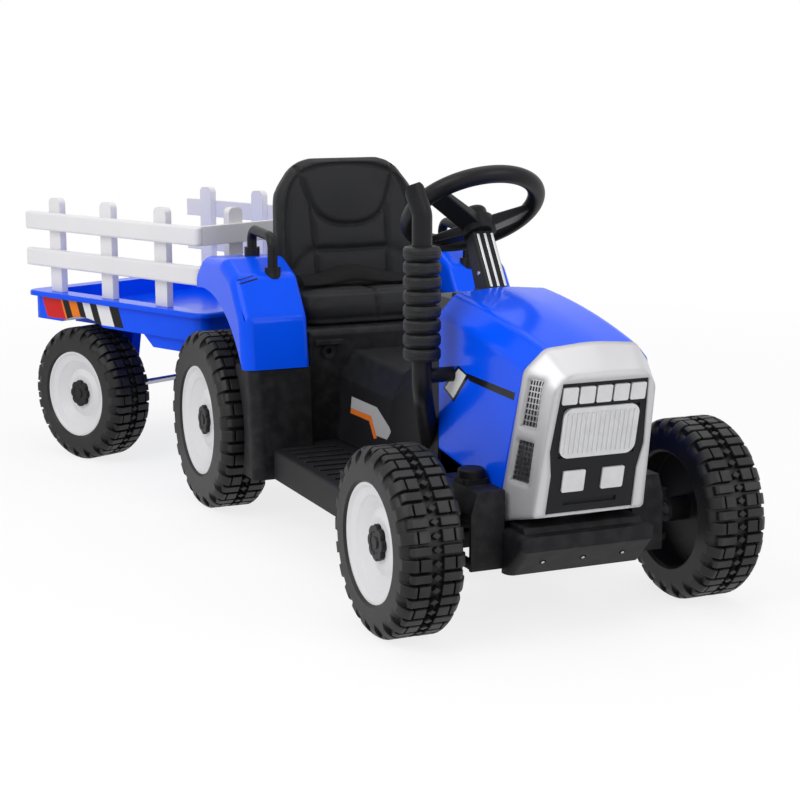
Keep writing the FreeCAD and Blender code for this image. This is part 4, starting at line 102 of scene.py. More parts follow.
class Nodes:
    """Short calls for building a node tree round one principled shader."""

    def __init__(self, name):
        self.material = bpy.data.materials.new(name)
        self.material.use_nodes = True
        self.tree = self.material.node_tree
        self.shader = self.tree.nodes["Principled BSDF"]
        self.place = self.tree.nodes.new("ShaderNodeTexCoord").outputs["Object"]
        self.round = None

    def link(self, source, target):
        self.tree.links.new(source, target)

    def put(self, socket, value):
        if isinstance(value, bpy.types.NodeSocket):
            self.link(value, socket)
        else:
            socket.default_value = value

    def set(self, **values):
        for name, value in values.items():
            self.put(self.shader.inputs[name.replace("_", " ")], value)

    def math(self, kind, one, other=0.0, third=0.0):
        node = self.tree.nodes.new("ShaderNodeMath")
        node.operation = kind
        for socket, value in zip(node.inputs, (one, other, third)):
            self.put(socket, value)
        return node.outputs[0]

    def noise(self, scale, detail=2.0, rough=0.5, where=None):
        node = self.tree.nodes.new("ShaderNodeTexNoise")
        self.link(where or self.place, node.inputs["Vector"])
        node.inputs["Scale"].default_value = scale
        node.inputs["Detail"].default_value = detail
        node.inputs["Roughness"].default_value = rough
        return node.outputs["Fac"]

    def cells(self, scale, feature="F1"):
        node = self.tree.nodes.new("ShaderNodeTexVoronoi")
        node.feature = feature
        self.link(self.place, node.inputs["Vector"])
        node.inputs["Scale"].default_value = scale
        return node.outputs["Distance"]

    def spread(self, value, low, high, to_low=0.0, to_high=1.0):
        node = self.tree.nodes.new("ShaderNodeMapRange")
        node.clamp = True
        for socket, item in zip(node.inputs, (value, low, high, to_low, to_high)):
            self.put(socket, item)
        return node.outputs["Result"]

    def swing(self, noise, to_low=0.0, to_high=1.0, over=NOISE_MIDDLE):
        """A noise's usual range, spread from one end to the other."""
        return self.spread(noise, *over, to_low, to_high)

    def past(self, value, edge):
        """Share that goes from nought to one where the value passes the edge."""
        return self.spread(value, edge - MARK_SOFT, edge + MARK_SOFT)

    def between(self, value, low, high):
        fall = self.spread(value, high - MARK_SOFT, high + MARK_SOFT, 1.0, 0.0)
        return self.math("MULTIPLY", self.past(value, low), fall)

    def mix(self, share, one, other):
        node = self.tree.nodes.new("ShaderNodeMix")
        node.data_type = "RGBA"
        self.put(node.inputs[MIX_SHARE], share)
        self.put(node.inputs[MIX_ONE], one)
        self.put(node.inputs[MIX_OTHER], other)
        return node.outputs[MIX_RESULT]

    def bump(self, height, distance, strength=1.0):
        node = self.tree.nodes.new("ShaderNodeBump")
        node.inputs["Strength"].default_value = strength
        node.inputs["Distance"].default_value = distance
        self.link(height, node.inputs["Height"])
        if self.round:
            self.link(self.round, node.inputs["Normal"])
        self.link(node.outputs["Normal"], self.shader.inputs["Normal"])

    def soften(self, radius):
        """Rounds sharp edges for the light, as moulded edges are. Comes before bump."""
        node = self.tree.nodes.new("ShaderNodeBevel")
        node.samples = BEVEL_SAMPLES
        node.inputs["Radius"].default_value = radius
        self.round = node.outputs["Normal"]

    def inside(self, across, up, corners):
        """Share that is one inside a convex outline, given in metres and turning left."""
        share = None
        for (x0, z0), (x1, z1) in zip(corners, corners[1:] + corners[:1]):
            length = math.hypot(x1 - x0, z1 - z0)
            a, b = (z0 - z1) / length, (x1 - x0) / length
            along = self.math("MULTIPLY_ADD", across, a, -(a * x0 + b * z0))
            edge = self.past(self.math("MULTIPLY_ADD", up, b, along), 0.0)
            share = edge if share is None else self.math("MULTIPLY", share, edge)
        return share

    def axes(self, where=None):
        node = self.tree.nodes.new("ShaderNodeSeparateXYZ")
        self.link(where or self.place, node.inputs[0])
        return node.outputs

    def edges(self, high=EDGE_TO):
        """Share that rises on outer edges, from the mesh's own curvature."""
        node = self.tree.nodes.new("ShaderNodeNewGeometry")
        return self.spread(node.outputs["Pointiness"], EDGE_FROM, high)

    def shift(self, offset, turn):
        """Places counted from an offset, along axes turned about Z."""
        node = self.tree.nodes.new("ShaderNodeMapping")
        node.vector_type = "TEXTURE"
        self.link(self.place, node.inputs["Vector"])
        node.inputs["Location"].default_value = offset
        node.inputs["Rotation"].default_value = (0, 0, turn)
        return node.outputs["Vector"]

    def stretched(self, scale):
        node = self.tree.nodes.new("ShaderNodeMapping")
        self.link(self.place, node.inputs["Vector"])
        node.inputs["Scale"].default_value = scale
        return node.outputs["Vector"]


def shade(colour, factor):
    return tuple(min(1.0, channel * factor) for channel in colour[:3]) + (1.0,)


def moulded(name, colour, rough, grain=1100.0, depth=0.00012, shine=0.5, vary=0.12, wear=0.0, edge=0.0012):
    """Moulded plastic: fine grain, slow change of tone and gloss, soft and slightly rubbed edges."""
    n = Nodes(name)
    n.soften(edge)
    slow = n.noise(scale=9.0, detail=3.0)
    fine = n.noise(scale=grain, rough=0.6)
    tone = n.mix(n.swing(slow), shade(colour, 1 - vary), shade(colour, 1 + vary))
    if wear:
        patches = n.spread(n.noise(scale=60.0), 0.4, 0.7, 0.0, wear)
        lifted = tuple(channel + RUBBED_LIFT for channel in colour[:3])
        tone = n.mix(n.math("MULTIPLY", n.edges(RUBBED_TO), patches), tone, shade(lifted, RUBBED_GAIN))
    n.set(Base_Color=tone, Specular_IOR_Level=shine)
    n.set(Roughness=n.swing(fine, rough - 0.05, rough + 0.07, NOISE_WIDE))
    n.bump(fine, depth)
    return n


def matt_black(name):
    return moulded(name, BLACK, 0.5, shine=0.15, wear=0.3)


def gloss_blue(name, edge=0.0025):
    """Glossy moulded blue, returned with its tone, so that marks can be laid over it."""
    n = Nodes(name)
    if edge:
        n.soften(edge)
    slow = n.noise(scale=6.0)
    ripple = n.noise(scale=26.0, detail=1.0)
    tone = n.mix(n.swing(slow), shade(BLUE, 0.93), shade(BLUE, 1.08))
    n.set(Roughness=n.swing(n.noise(scale=220.0), 0.18, 0.24), Specular_IOR_Level=0.08)
    n.set(Coat_Weight=0.1, Coat_Roughness=0.05)
    n.bump(ripple, distance=0.0006, strength=0.3)
    return n, tone


# Flat marks. Their outlines are in mm: along the part or out from its middle, and up from the ground

DATUM_X = DATUM.x / MM
HOOD_SIDE, HOOD_SIDE_SOFT = 0.072, 0.0004
HOOD_MARKS = (
    (INK_AND_SLIT_SHADE, [(611, 278), (719, 273.3), (722, 282.5), (604, 286)]),
    (INK_AND_SLIT_SHADE, [(541, 258), (570, 245), (611, 283), (582, 292)]),
    (PAPER, [(546, 259), (569, 250), (603, 283), (583, 288)]),
)
SIDE_SOFT = 0.0005
TUNNEL_SIDE = 0.055
TUNNEL_MARKS = (
    (BAND_GREY, [(205, 171.3), (271, 172), (287, 186.5), (205, 187.5)]),
    (BAND_GREY, [(271, 172), (292, 149), (325, 150), (338, 163), (287, 186.5)]),
    (BAND_ORANGE, [(205, 164.4), (266, 164.2), (271, 172), (205, 171.3)]),
    (BAND_ORANGE, [(266, 164.2), (286, 143.3), (295, 146.4), (271, 172)]),
)
FENDER_FRONT = DATUM.x + 0.105
# The fender slits are painted shade: near-black marks standing for the shaded insides of the slits.
FENDER_SLIT_SHADES = (
    (INK_AND_SLIT_SHADE, [(175, 347.4), (203, 341.4), (203, 343.2), (175, 349.2)]),
    (INK_AND_SLIT_SHADE, [(180, 351.4), (205, 346.0), (205, 347.4), (180, 352.8)]),
)
TRAILER_SIDE = 0.1765
STRIPES_FROM, STRIPES_TO = -0.424, -0.227
STRIPES_LOW, STRIPES_HIGH = 0.224, 0.256
STRIPE_LEAN, STRIPE_LEAN_FOOT = 0.4, 0.257
STRIPE_ENDS = (
    (-375, STRIPE_RED), (-370.5, STRIPE_ORANGE), (-354, INK_AND_SLIT_SHADE), (-333, STRIPE_ORANGE), (-318, INK_AND_SLIT_SHADE),
    (-299, PAPER), (-282, INK_AND_SLIT_SHADE), (-250, PAPER), (-227, INK_AND_SLIT_SHADE),
)


def off_middle(n, y):
    return n.math("ABSOLUTE", n.math("SUBTRACT", y, DATUM.y))


def marked(n, tone, shown, across, up, marks, across_from=0.0):
    """The tone with marks (colour and convex outline) laid over it where shown is one."""
    for colour, corners in marks:
        outline = [((x + across_from) * MM, z * MM) for x, z in corners]
        share = n.math("MULTIPLY", shown, n.inside(across, up, outline))
        tone = n.mix(share, tone, colour)
    return tone


def hood_blue():
    """Blue with the thin stripe and the slanted mark on each side of the hood."""
    n, tone = gloss_blue("blue_hood")
    x, y, z = n.axes()
    side = n.spread(off_middle(n, y), HOOD_SIDE, HOOD_SIDE + HOOD_SIDE_SOFT)
    n.set(Base_Color=marked(n, tone, side, x, z, HOOD_MARKS, DATUM_X))
    return n.material


def tunnel_black():
    """Black with a bent grey and orange band on each side of the tunnel."""
    n = matt_black("black_tunnel")
    tone = n.shader.inputs["Base Color"].links[0].from_socket
    x, y, z = n.axes()
    side = n.spread(off_middle(n, y), TUNNEL_SIDE, TUNNEL_SIDE + SIDE_SOFT)
    n.set(Base_Color=marked(n, tone, side, x, z, TUNNEL_MARKS, DATUM_X))
    return n.material


def fender_blue():
    """Blue with two short slits at the front shoulder of each fender, painted near-black as painted shade for
    their insides; the fender's edges are round already.
    """
    n, tone = gloss_blue("blue_fender", edge=0.0)
    x, y, z = n.axes()
    front = n.spread(x, FENDER_FRONT, FENDER_FRONT + SIDE_SOFT)
    n.set(Base_Color=marked(n, tone, front, off_middle(n, y), z, FENDER_SLIT_SHADES))
    return n.material


def trailer_blue():
    """Blue with the band of slanted stripes at the rear of each side of the trailer."""
    n, tone = gloss_blue("blue_trailer")
    x, y, z = n.axes(n.shift(HITCH, TRAILER_TURN))
    side = n.spread(n.math("ABSOLUTE", y), TRAILER_SIDE, TRAILER_SIDE + SIDE_SOFT)
    foot = n.math("SUBTRACT", x, STRIPE_LEAN * STRIPE_LEAN_FOOT)
    leaning = n.math("MULTIPLY_ADD", z, STRIPE_LEAN, foot)
    band = STRIPE_ENDS[0][1]
    for (end, _), (_, colour) in zip(STRIPE_ENDS, STRIPE_ENDS[1:]):
        band = n.mix(n.past(leaning, end * MM), band, colour)
    reach = n.between(leaning, STRIPES_FROM, STRIPES_TO)
    height = n.between(z, STRIPES_LOW, STRIPES_HIGH)
    share = n.math("MULTIPLY", side, n.math("MULTIPLY", reach, height))
    n.set(Base_Color=n.mix(share, tone, band))
    return n.material


def tyre_material():
    n = Nodes("tyre_moulded")
    slow = n.noise(scale=14.0, detail=3.0)
    fine = n.noise(scale=800.0, rough=0.6)
    # Lighter in patches on the lugs' outer edges, found from the mesh's curvature.
    patches = n.spread(n.noise(scale=40.0), 0.35, 0.7, 0.0, 0.6)
    tone = n.mix(n.swing(slow), TYRE_DARK, TYRE_PALE)
    tone = n.mix(n.math("MULTIPLY", n.edges(), patches), tone, TYRE_EDGE_PALE)
    n.set(Base_Color=tone, Roughness=n.swing(fine, 0.4, 0.54, NOISE_WIDE), Specular_IOR_Level=0.3)
    n.soften(0.002)
    n.bump(fine, distance=0.00016)
    return n.material


def silver_material():
    n = Nodes("silver_paint")
    flake = n.cells(scale=2600.0)
    slow = n.noise(scale=8.0)
    tone = n.mix(n.spread(flake, 0.0, 0.6), shade(SILVER, 1.06), shade(SILVER, 0.9))
    tone = n.mix(n.swing(slow, 0.0, 0.35), tone, shade(SILVER, 0.95))
    n.set(Base_Color=tone, Metallic=0.35, Roughness=n.spread(flake, 0.0, 0.6, 0.3, 0.4))
    n.set(Coat_Weight=0.2, Coat_Roughness=0.1)
    n.soften(0.011)
    n.bump(n.noise(scale=900.0), distance=0.00004)
    return n.material


def bellows_material():
    """Black plastic with a coarse drawn grain round each rib."""
    n = Nodes("black_ribbed")
    n.soften(0.0015)
    drawn = n.noise(scale=130.0, detail=4.0, rough=0.6, where=n.stretched((0.35, 0.35, 4.0)))
    tone = n.mix(n.swing(drawn), shade(BLACK, 0.7), shade(BLACK, 1.5))
    n.set(Base_Color=tone, Roughness=n.swing(drawn, 0.55, 0.36), Specular_IOR_Level=0.26)
    n.bump(drawn, distance=0.0012)
    return n.material


def lens_material():
    n = Nodes("lens_clear")
    tone = n.mix(n.swing(n.noise(scale=60.0)), LENS_DARK, LENS_PALE)
    n.set(Base_Color=tone, Roughness=n.swing(n.noise(scale=300.0), 0.1, 0.16), IOR=1.49)
    n.set(Coat_Weight=0.5, Coat_Roughness=0.04)
    n.set(Subsurface_Weight=0.15, Subsurface_Radius=(0.004, 0.004, 0.004))
    n.bump(n.cells(scale=900.0), distance=0.0001, strength=0.4)
    return n.material


def metal_material(name, colour, rough, brushed=(1.0, 1.0, 1.0)):
    n = Nodes(name)
    fine = n.noise(scale=500.0, detail=3.0, rough=0.6, where=n.stretched(brushed))
    tone = n.mix(n.swing(n.noise(scale=30.0)), shade(colour, 0.9), shade(colour, 1.05))
    n.set(Base_Color=tone, Metallic=1.0, Roughness=n.swing(fine, rough - 0.06, rough + 0.1, NOISE_WIDE))
    n.bump(fine, distance=0.00003)
    return n.material


def leather_material():
    n = Nodes("seat_leather")
    grain = n.cells(scale=620.0, feature="DISTANCE_TO_EDGE")
    pores = n.noise(scale=1500.0)
    slow = n.noise(scale=12.0, detail=3.0)
    tone = n.mix(n.swing(slow), LEATHER_DARK, LEATHER_PALE)
    tone = n.mix(n.math("MULTIPLY", n.edges(), 0.35), tone, LEATHER_WORN)
    height = n.math("ADD", n.spread(grain, 0.0, 0.12), n.math("MULTIPLY", pores, 0.3))
    n.set(Base_Color=tone, Roughness=n.spread(grain, 0.0, 0.15, 0.55, 0.42), Specular_IOR_Level=0.2)
    n.set(Sheen_Weight=0.02)
    n.bump(height, distance=0.00028)
    return n.material


THREADS = 3600.0


def webbing_material():
    n = Nodes("belt_webbing")
    x, y, _ = n.axes()
    across = n.math("SINE", n.math("MULTIPLY", x, THREADS))
    along = n.math("SINE", n.math("MULTIPLY", y, THREADS))
    weave = n.math("MULTIPLY", across, along)
    tone = n.mix(n.spread(weave, -1.0, 1.0), WEBBING_DARK, WEBBING_PALE)
    n.set(Base_Color=tone, Roughness=0.72, Specular_IOR_Level=0.15)
    n.bump(weave, distance=0.0003)
    return n.material


black = matt_black("black_moulded").material
black_smooth = moulded("black_smooth", BLACK, 0.38, grain=700.0, depth=0.00006, shine=0.18, wear=0.3).material
white = moulded("white_moulded", shade(WHITE, FENCE_GAIN), 0.42, grain=600.0, depth=0.00008, vary=0.03,
                edge=0.002).material
rim_white = moulded("rim_moulded", WHITE, 0.4, grain=500.0, depth=0.00008, vary=0.03).material
# Painted shade: near-black discs laid where the bumper's screw holes lie in shade.
painted_hole_shade = moulded("painted_hole_shade", HOLE_SHADE, 0.7, shine=0.1).material
steel = metal_material("steel_zinc", ZINC, 0.3, brushed=(1, 0.1, 1))
chrome = metal_material("chrome_trim", CHROME, 0.14)
leather = leather_material()
webbing = webbing_material()


def paint(look, *names):
    for name in names:
        mesh = nodes[name].data
        mesh.materials.clear()
        mesh.materials.append(look)


SIDES = ("right", "left")
AXLES = ("front", "rear", "trailer")
wheel_places = [f"{axle}_{side}" for axle in AXLES for side in SIDES]
paint(tyre_material(), *[f"tyre_{place}" for place in wheel_places])
paint(rim_white, *[f"rim_{place}" for place in wheel_places])
paint(black_smooth, *[f"hub_cap_{place}" for place in wheel_places])
paint(hood_blue(), "hood")
paint(fender_blue(), "fender_right", "fender_left")
paint(trailer_blue(), "trailer_bed")
paint(white, "fence_right", "fence_left", "fence_front")
paint(tunnel_black(), "centre_cover")
paint(black, "lower_body", "seat_pedestal", "axle_housing", "bumper", "gearboxes", "battery",
      "tie_rod", "pedal", "filler_caps", "charge_socket")
paint(black_smooth, "dash", "column_cover", "grille_panel", "exhaust_pipe", "grab_handles",
      "steering_wheel", "horn_pad", "direction_rocker", "power_button")
paint(bellows_material(), "exhaust_bellows")
paint(silver_material(), "grille_bezel")
paint(metal_material("mesh_plated", PLATED, 0.3), "side_mesh")
paint(lens_material(), "lamp_lenses")
paint(steel, "rear_axle", "trailer_axle", "hitch_pin", "steering_shaft", "knuckle_right", "knuckle_left",
      "drawbar", "tow_bracket")

# Soft pieces: swollen by cloth between their seams, then drawn in along the seams

PAD_VOXEL = 0.005
PAD_SHRINK = 0.002
PAD_PRESSURE = 4.0
PAD_CAP = 0.006
CLOTH_STEPS = 20
SEAM_REACH = 4.0
CORNER_CUT_SHARE = 0.25
FACING_GAIN, FACING_LESS = 2.0, 0.2
TINY = 1e-9
FAR = 1e9


def new_piece(name, mesh, look, body="tractor"):
    item = bpy.data.objects.new(name, mesh)
    scene.collection.objects.link(item)
    mesh.materials.clear()
    mesh.materials.append(look)
    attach(item, body)
    return item


def smooth_faces(mesh):
    mesh.polygons.foreach_set("use_smooth", [True] * len(mesh.polygons))


def on_holder(mesh):
    """A passing object that carries the mesh while a modifier works on it."""
    holder = bpy.data.objects.new("holder", mesh)
    scene.collection.objects.link(holder)
    return holder


def taken_off(holder):
    """The holder's form with its modifiers, as a new mesh. The holder and its own mesh go."""
    graph = bpy.context.evaluated_depsgraph_get()
    result = bpy.data.meshes.new_from_object(holder.evaluated_get(graph))
    source = holder.data
    bpy.data.objects.remove(holder)
    bpy.data.meshes.remove(source)
    return result


def places(mesh):
    flat = np.empty(len(mesh.vertices) * 3)
    mesh.vertices.foreach_get("co", flat)
    return flat.reshape(-1, 3)


def facings(mesh):
    flat = np.empty(len(mesh.vertices) * 3)
    mesh.vertex_normals.foreach_get("vector", flat)
    return flat.reshape(-1, 3)


def move_to(mesh, points):
    mesh.vertices.foreach_set("co", points.ravel())
    mesh.update()


def smooth_line(points, rounds):
    """Corner cutting that keeps the ends."""
    line = np.array(points, float)
    most = 1 - CORNER_CUT_SHARE
    for _ in range(rounds):
        near = line[:-1] * most + line[1:] * CORNER_CUT_SHARE
        far = line[:-1] * CORNER_CUT_SHARE + line[1:] * most
        line = np.vstack([line[:1], np.stack([near, far], 1).reshape(-1, 2), line[-1:]])
    return line


def seam(points, rounds, depth, width):
    """A seam or fold: its line on the flat plane, its depth and its width, in mm."""
    return smooth_line(points, rounds), depth, width


def mirrored(half, middle=()):
    """A line from one side to the other, given by its right half and its middle points."""
    return [(-u, v) for u, v in half] + list(middle) + [(u, v) for u, v in reversed(half)]


def gap_to(line, points):
    """Distance of flat points from a line, in mm."""
    best = np.full(len(points), FAR)
    for start, end in zip(line[:-1], line[1:]):
        run = end - start
        share = np.clip(((points - start) @ run) / max(run @ run, TINY), 0, 1)
        best = np.minimum(best, np.linalg.norm(points - start - share[:, None] * run, axis=1))
    return best


class Flat:
    """A plane that seams are drawn on: foot in the row frame, and the ways across, up and out."""

    def __init__(self, foot, across, up, out):
        self.foot = np.array(foot)
        self.turn = np.array([across, up, out], float)

    def read(self, points):
        return (points - self.foot) @ self.turn.T / MM


def remeshed(node):
    """The node's form in even small faces, a little smaller than the node."""
    holder = on_holder(nodes[node].data.copy())
    remesh = holder.modifiers.new("remesh", "REMESH")
    remesh.mode = "VOXEL"
    remesh.voxel_size = PAD_VOXEL
    mesh = taken_off(holder)
    move_to(mesh, places(mesh) - facings(mesh) * PAD_SHRINK)
    return mesh


def swollen(mesh, held):
    """Blows the mesh up with cloth, keeping the held points, no point moving further than the cap."""
    before = places(mesh)
    holder = on_holder(mesh)
    pins = holder.vertex_groups.new(name="held")
    pins.add([int(index) for index in np.nonzero(held)[0]], 1.0, "REPLACE")
    cloth = holder.modifiers.new("swell", "CLOTH")
    cloth.settings.use_pressure = True
    cloth.settings.uniform_pressure_force = PAD_PRESSURE
    cloth.settings.vertex_group_mass = "held"
    cloth.settings.effector_weights.gravity = 0.0
    cloth.point_cache.frame_start = 1
    cloth.point_cache.frame_end = CLOTH_STEPS
    for step in range(1, CLOTH_STEPS + 1):
        scene.frame_set(step)
    result = taken_off(holder)
    scene.frame_set(1)
    moved = places(result) - before
    reach = np.linalg.norm(moved, axis=1)
    moved *= np.minimum(1.0, PAD_CAP / np.maximum(reach, TINY))[:, None]
    move_to(result, before + moved)
    return result


def divided(mesh):
    holder = on_holder(mesh)
    finer = holder.modifiers.new("finer", "SUBSURF")
    finer.levels = 1
    finer.render_levels = 1
    return taken_off(holder)


def sewn(mesh, flat, seams):
    """Draws the surface that faces out of the flat plane in along its seams."""
    points = places(mesh)
    local = flat.read(points)
    facing = np.clip(facings(mesh) @ flat.turn[2] * FACING_GAIN - FACING_LESS, 0, 1)
    drop = np.zeros(len(points))
    for line, depth, width in seams:
        drop = np.maximum(drop, depth * np.exp(-(gap_to(line, local[:, :2]) / width) ** 2))
    move_to(mesh, points - flat.turn[2] * (drop * facing * MM)[:, None])


def near_seams(mesh, flat, seams):
    """Which points lie at a seam, and all points as the flat plane reads them."""
    local = flat.read(places(mesh))
    close = np.zeros(len(local), bool)
    for line, _, _ in seams:
        close |= gap_to(line, local[:, :2]) < SEAM_REACH
    return close, local


def finish_pad(name, mesh, node):
    smooth_faces(mesh)
    item = new_piece(name, mesh, leather)
    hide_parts(node)
    return item


BACK_LEAN = math.radians(11)
BACK_FOOT = (69, 0, 277)
BACK_HELD_OUT, BACK_HELD_UP = -14, 6
back_up = (-math.sin(BACK_LEAN), 0, math.cos(BACK_LEAN))
back_out = (math.cos(BACK_LEAN), 0, math.sin(BACK_LEAN))
back_flat = Flat(at(*BACK_FOOT), (0, 1, 0), back_up, back_out)
back_edge = mirrored([(96, -10), (101, 80), (96, 180), (64, 223)])
back_yoke = mirrored([(76, 222), (64, 182), (52, 153), (29, 137)], [(0, 134)])
back_seams = [
    seam(back_edge, rounds=3, depth=4.5, width=3.0),
    seam(back_yoke, rounds=2, depth=5.5, width=3.4),
    seam([(-58, 166), (-57, 90), (-53, 0)], rounds=2, depth=5.0, width=3.0),
    seam([(58, 166), (57, 90), (53, 0)], rounds=2, depth=5.0, width=3.0),
    seam([(-57, 101), (0, 99), (57, 101)], rounds=1, depth=4.5, width=4.0),
    seam([(-55, 58), (0, 56), (55, 58)], rounds=1, depth=4.5, width=4.0),
]
back_folds = [
    seam([(-108, 68), (-92, 72), (-76, 90), (-60, 97)], rounds=2, depth=3.0, width=6.0),
    seam([(108, 74), (90, 80), (76, 92), (60, 94)], rounds=2, depth=2.4, width=6.0),
]
back_mesh = remeshed("seat_back")
close, local = near_seams(back_mesh, back_flat, back_seams)
back_mesh = swollen(back_mesh, close | (local[:, 2] < BACK_HELD_OUT) | (local[:, 1] < BACK_HELD_UP))
back_mesh = divided(back_mesh)
sewn(back_mesh, back_flat, back_seams + back_folds)
seat_back = finish_pad("seat_back_pad", back_mesh, "seat_back")

CUSHION_TOP = (0, 0, 327)
CUSHION_FRONT = (146, 0, 277)
CUSHION_SEAM_OUT, CUSHION_HELD_OUT = -16, -40
cushion_top = Flat(at(*CUSHION_TOP), (0, 1, 0), (1, 0, 0), (0, 0, 1))
cushion_front = Flat(at(*CUSHION_FRONT), (0, 1, 0), (0, 0, 1), (1, 0, 0))
top_seams = [
    seam([(-101, 40), (-101, 131), (101, 131), (101, 40)], rounds=3, depth=3.2, width=2.6),
    seam([(0, 40), (2, 90), (1, 146)], rounds=2, depth=4.0, width=2.8),
]
front_seams = [
    seam([(0, 8), (0, 52)], rounds=1, depth=3.5, width=2.8),
    seam([(-116, 10), (116, 10)], rounds=1, depth=2.4, width=3.0),
]
cushion_mesh = remeshed("seat_cushion")
close, local = near_seams(cushion_mesh, cushion_top, top_seams)
close &= local[:, 2] > CUSHION_SEAM_OUT
cushion_mesh = swollen(cushion_mesh, close | (local[:, 2] < CUSHION_HELD_OUT))
cushion_mesh = divided(cushion_mesh)
sewn(cushion_mesh, cushion_top, top_seams)
sewn(cushion_mesh, cushion_front, front_seams)
seat_cushion = finish_pad("seat_cushion_pad", cushion_mesh, "seat_cushion")

# Seat belt, in mm: webbing laid loosely along the foot of the seat back, with a hump right of the middle

BELT_WIDE = 36.0
BELT_THICK = 1.6
BELT_STEPS = 72
BELT_ROWS = 8
BELT_FROM, BELT_RUN = -97, 194
BELT_X, BELT_Z = 106, 331
HUMP_AT, HUMP_WIDE = -18, 34
HUMP_BACK, HUMP_RISE = 6, 3
LEAN_FLAT, LEAN_HUMP, LEAN_SWAY, LEAN_WAVE = 14, 26, 6, 0.05
BOW_FLAT, BOW_HUMP = 4, 4
RIPPLE, RIPPLE_WAVE = 1.6, 0.09


def belt_section(share):
    """The webbing at a share of its run: low edge, lean, bow across its width, lift of its high edge."""
    y = BELT_FROM + BELT_RUN * share
    hump = math.exp(-((y - HUMP_AT) / HUMP_WIDE) ** 2)
    low = Vector((BELT_X - HUMP_BACK * hump, y, BELT_Z + HUMP_RISE * hump))
    lean = math.radians(LEAN_FLAT + LEAN_HUMP * hump + LEAN_SWAY * math.sin(y * LEAN_WAVE))
    bow = BOW_FLAT + BOW_HUMP * hump
    return low, lean, bow, math.sin(y * RIPPLE_WAVE) * RIPPLE


def belt_index(step, row):
    return step * (BELT_ROWS + 1) + row


belt_points = []
for step in range(BELT_STEPS + 1):
    low, lean, bow, lift = belt_section(step / BELT_STEPS)
    for row in range(BELT_ROWS + 1):
        along = row / BELT_ROWS
        rise = bow * math.sin(math.pi * along) + lift * along
        spot = low + Vector((-math.cos(lean), 0, math.sin(lean))) * (BELT_WIDE * along)
        spot += Vector((math.sin(lean), 0, math.cos(lean))) * rise
        belt_points.append(at(*spot))
belt_faces = [(belt_index(step, row), belt_index(step, row + 1),
               belt_index(step + 1, row + 1), belt_index(step + 1, row))
              for step in range(BELT_STEPS) for row in range(BELT_ROWS)]
belt_mesh = bpy.data.meshes.new("seat_belt_webbing")
belt_mesh.from_pydata(belt_points, [], belt_faces)
smooth_faces(belt_mesh)
belt = new_piece("seat_belt_webbing", belt_mesh, webbing)
thick = belt.modifiers.new("thick", "SOLIDIFY")
thick.thickness = BELT_THICK * MM
thick.offset = 1.0
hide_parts("seat_belt")

# Small trim, in mm

BAR_ROUND_SHARE = 0.3
BAR_ROUND_STEPS = 2
STUD_STEPS = 28
STUD_TOP_SHARE = 0.82


def mesh_of(name, shape):
    mesh = bpy.data.meshes.new(name)
    shape.to_mesh(mesh)
    shape.free()
    return mesh


def bar(name, start, end, wide, deep, look, normal):
    """A thin bar with rounded edges from start to end, lying on a face with that normal."""
    run = end - start
    along = run.normalized()
    side = along.cross(normal).normalized()
    up = side.cross(along).normalized()
    shape = bmesh.new()
    bmesh.ops.create_cube(shape, size=1.0)
    turn = Matrix((along * run.length, side * wide * MM, up * deep * MM)).transposed().to_4x4()
    bmesh.ops.transform(shape, matrix=Matrix.Translation((start + end) / 2) @ turn, verts=shape.verts)
    bmesh.ops.bevel(shape, geom=shape.edges[:], offset=min(wide, deep) * BAR_ROUND_SHARE * MM,
                    segments=BAR_ROUND_STEPS, affect="EDGES")
    return new_piece(name, mesh_of(name, shape), look)


def stud(name, centre, normal, radius, rise, look):
    """A low round head standing on a face."""
    shape = bmesh.new()
    bmesh.ops.create_cone(shape, cap_ends=True, segments=STUD_STEPS, radius1=radius * MM,
                          radius2=radius * STUD_TOP_SHARE * MM, depth=rise * MM)
    turn = Vector(normal).to_track_quat("Z", "Y").to_matrix().to_4x4()
    bmesh.ops.transform(shape, matrix=Matrix.Translation(centre) @ turn, verts=shape.verts)
    return new_piece(name, mesh_of(name, shape), look)


# Hub caps. Heights are out from the wheel's middle plane. A level of the edge has a height and a share of
# the lobed outline, a level of the boss a height and a radius

CAP_SEAT = 23.2
CAP_FACE = 28.9
CAP_CHAMFER, CAP_RECESS, BOSS_PROUD = 1.2, 1.0, 0.6
LOBES = 8
LOBE_STEPS = 14
LOBE_ROOT, LOBE_HIGH, LOBE_POWER = 18.6, 3.1, 0.7
CAP_LEVELS = (
    (CAP_SEAT, 1.0), (CAP_FACE - CAP_CHAMFER, 1.0), (CAP_FACE, 0.94), (CAP_FACE, 0.66),
    (CAP_FACE - CAP_RECESS, 0.6),
)
BOSS_LEVELS = ((CAP_FACE - CAP_RECESS, 7.6), (CAP_FACE + BOSS_PROUD, 6.8))
WHEELS = (
    ("front", at, (660, 196, 110)),
    ("rear", at, (0, 189, 129)),
    ("trailer", at_trailer, (-318, 164, 108)),
)


def lobe_radius(angle):
    return LOBE_ROOT + LOBE_HIGH * abs(math.cos(LOBES * angle / 2)) ** LOBE_POWER


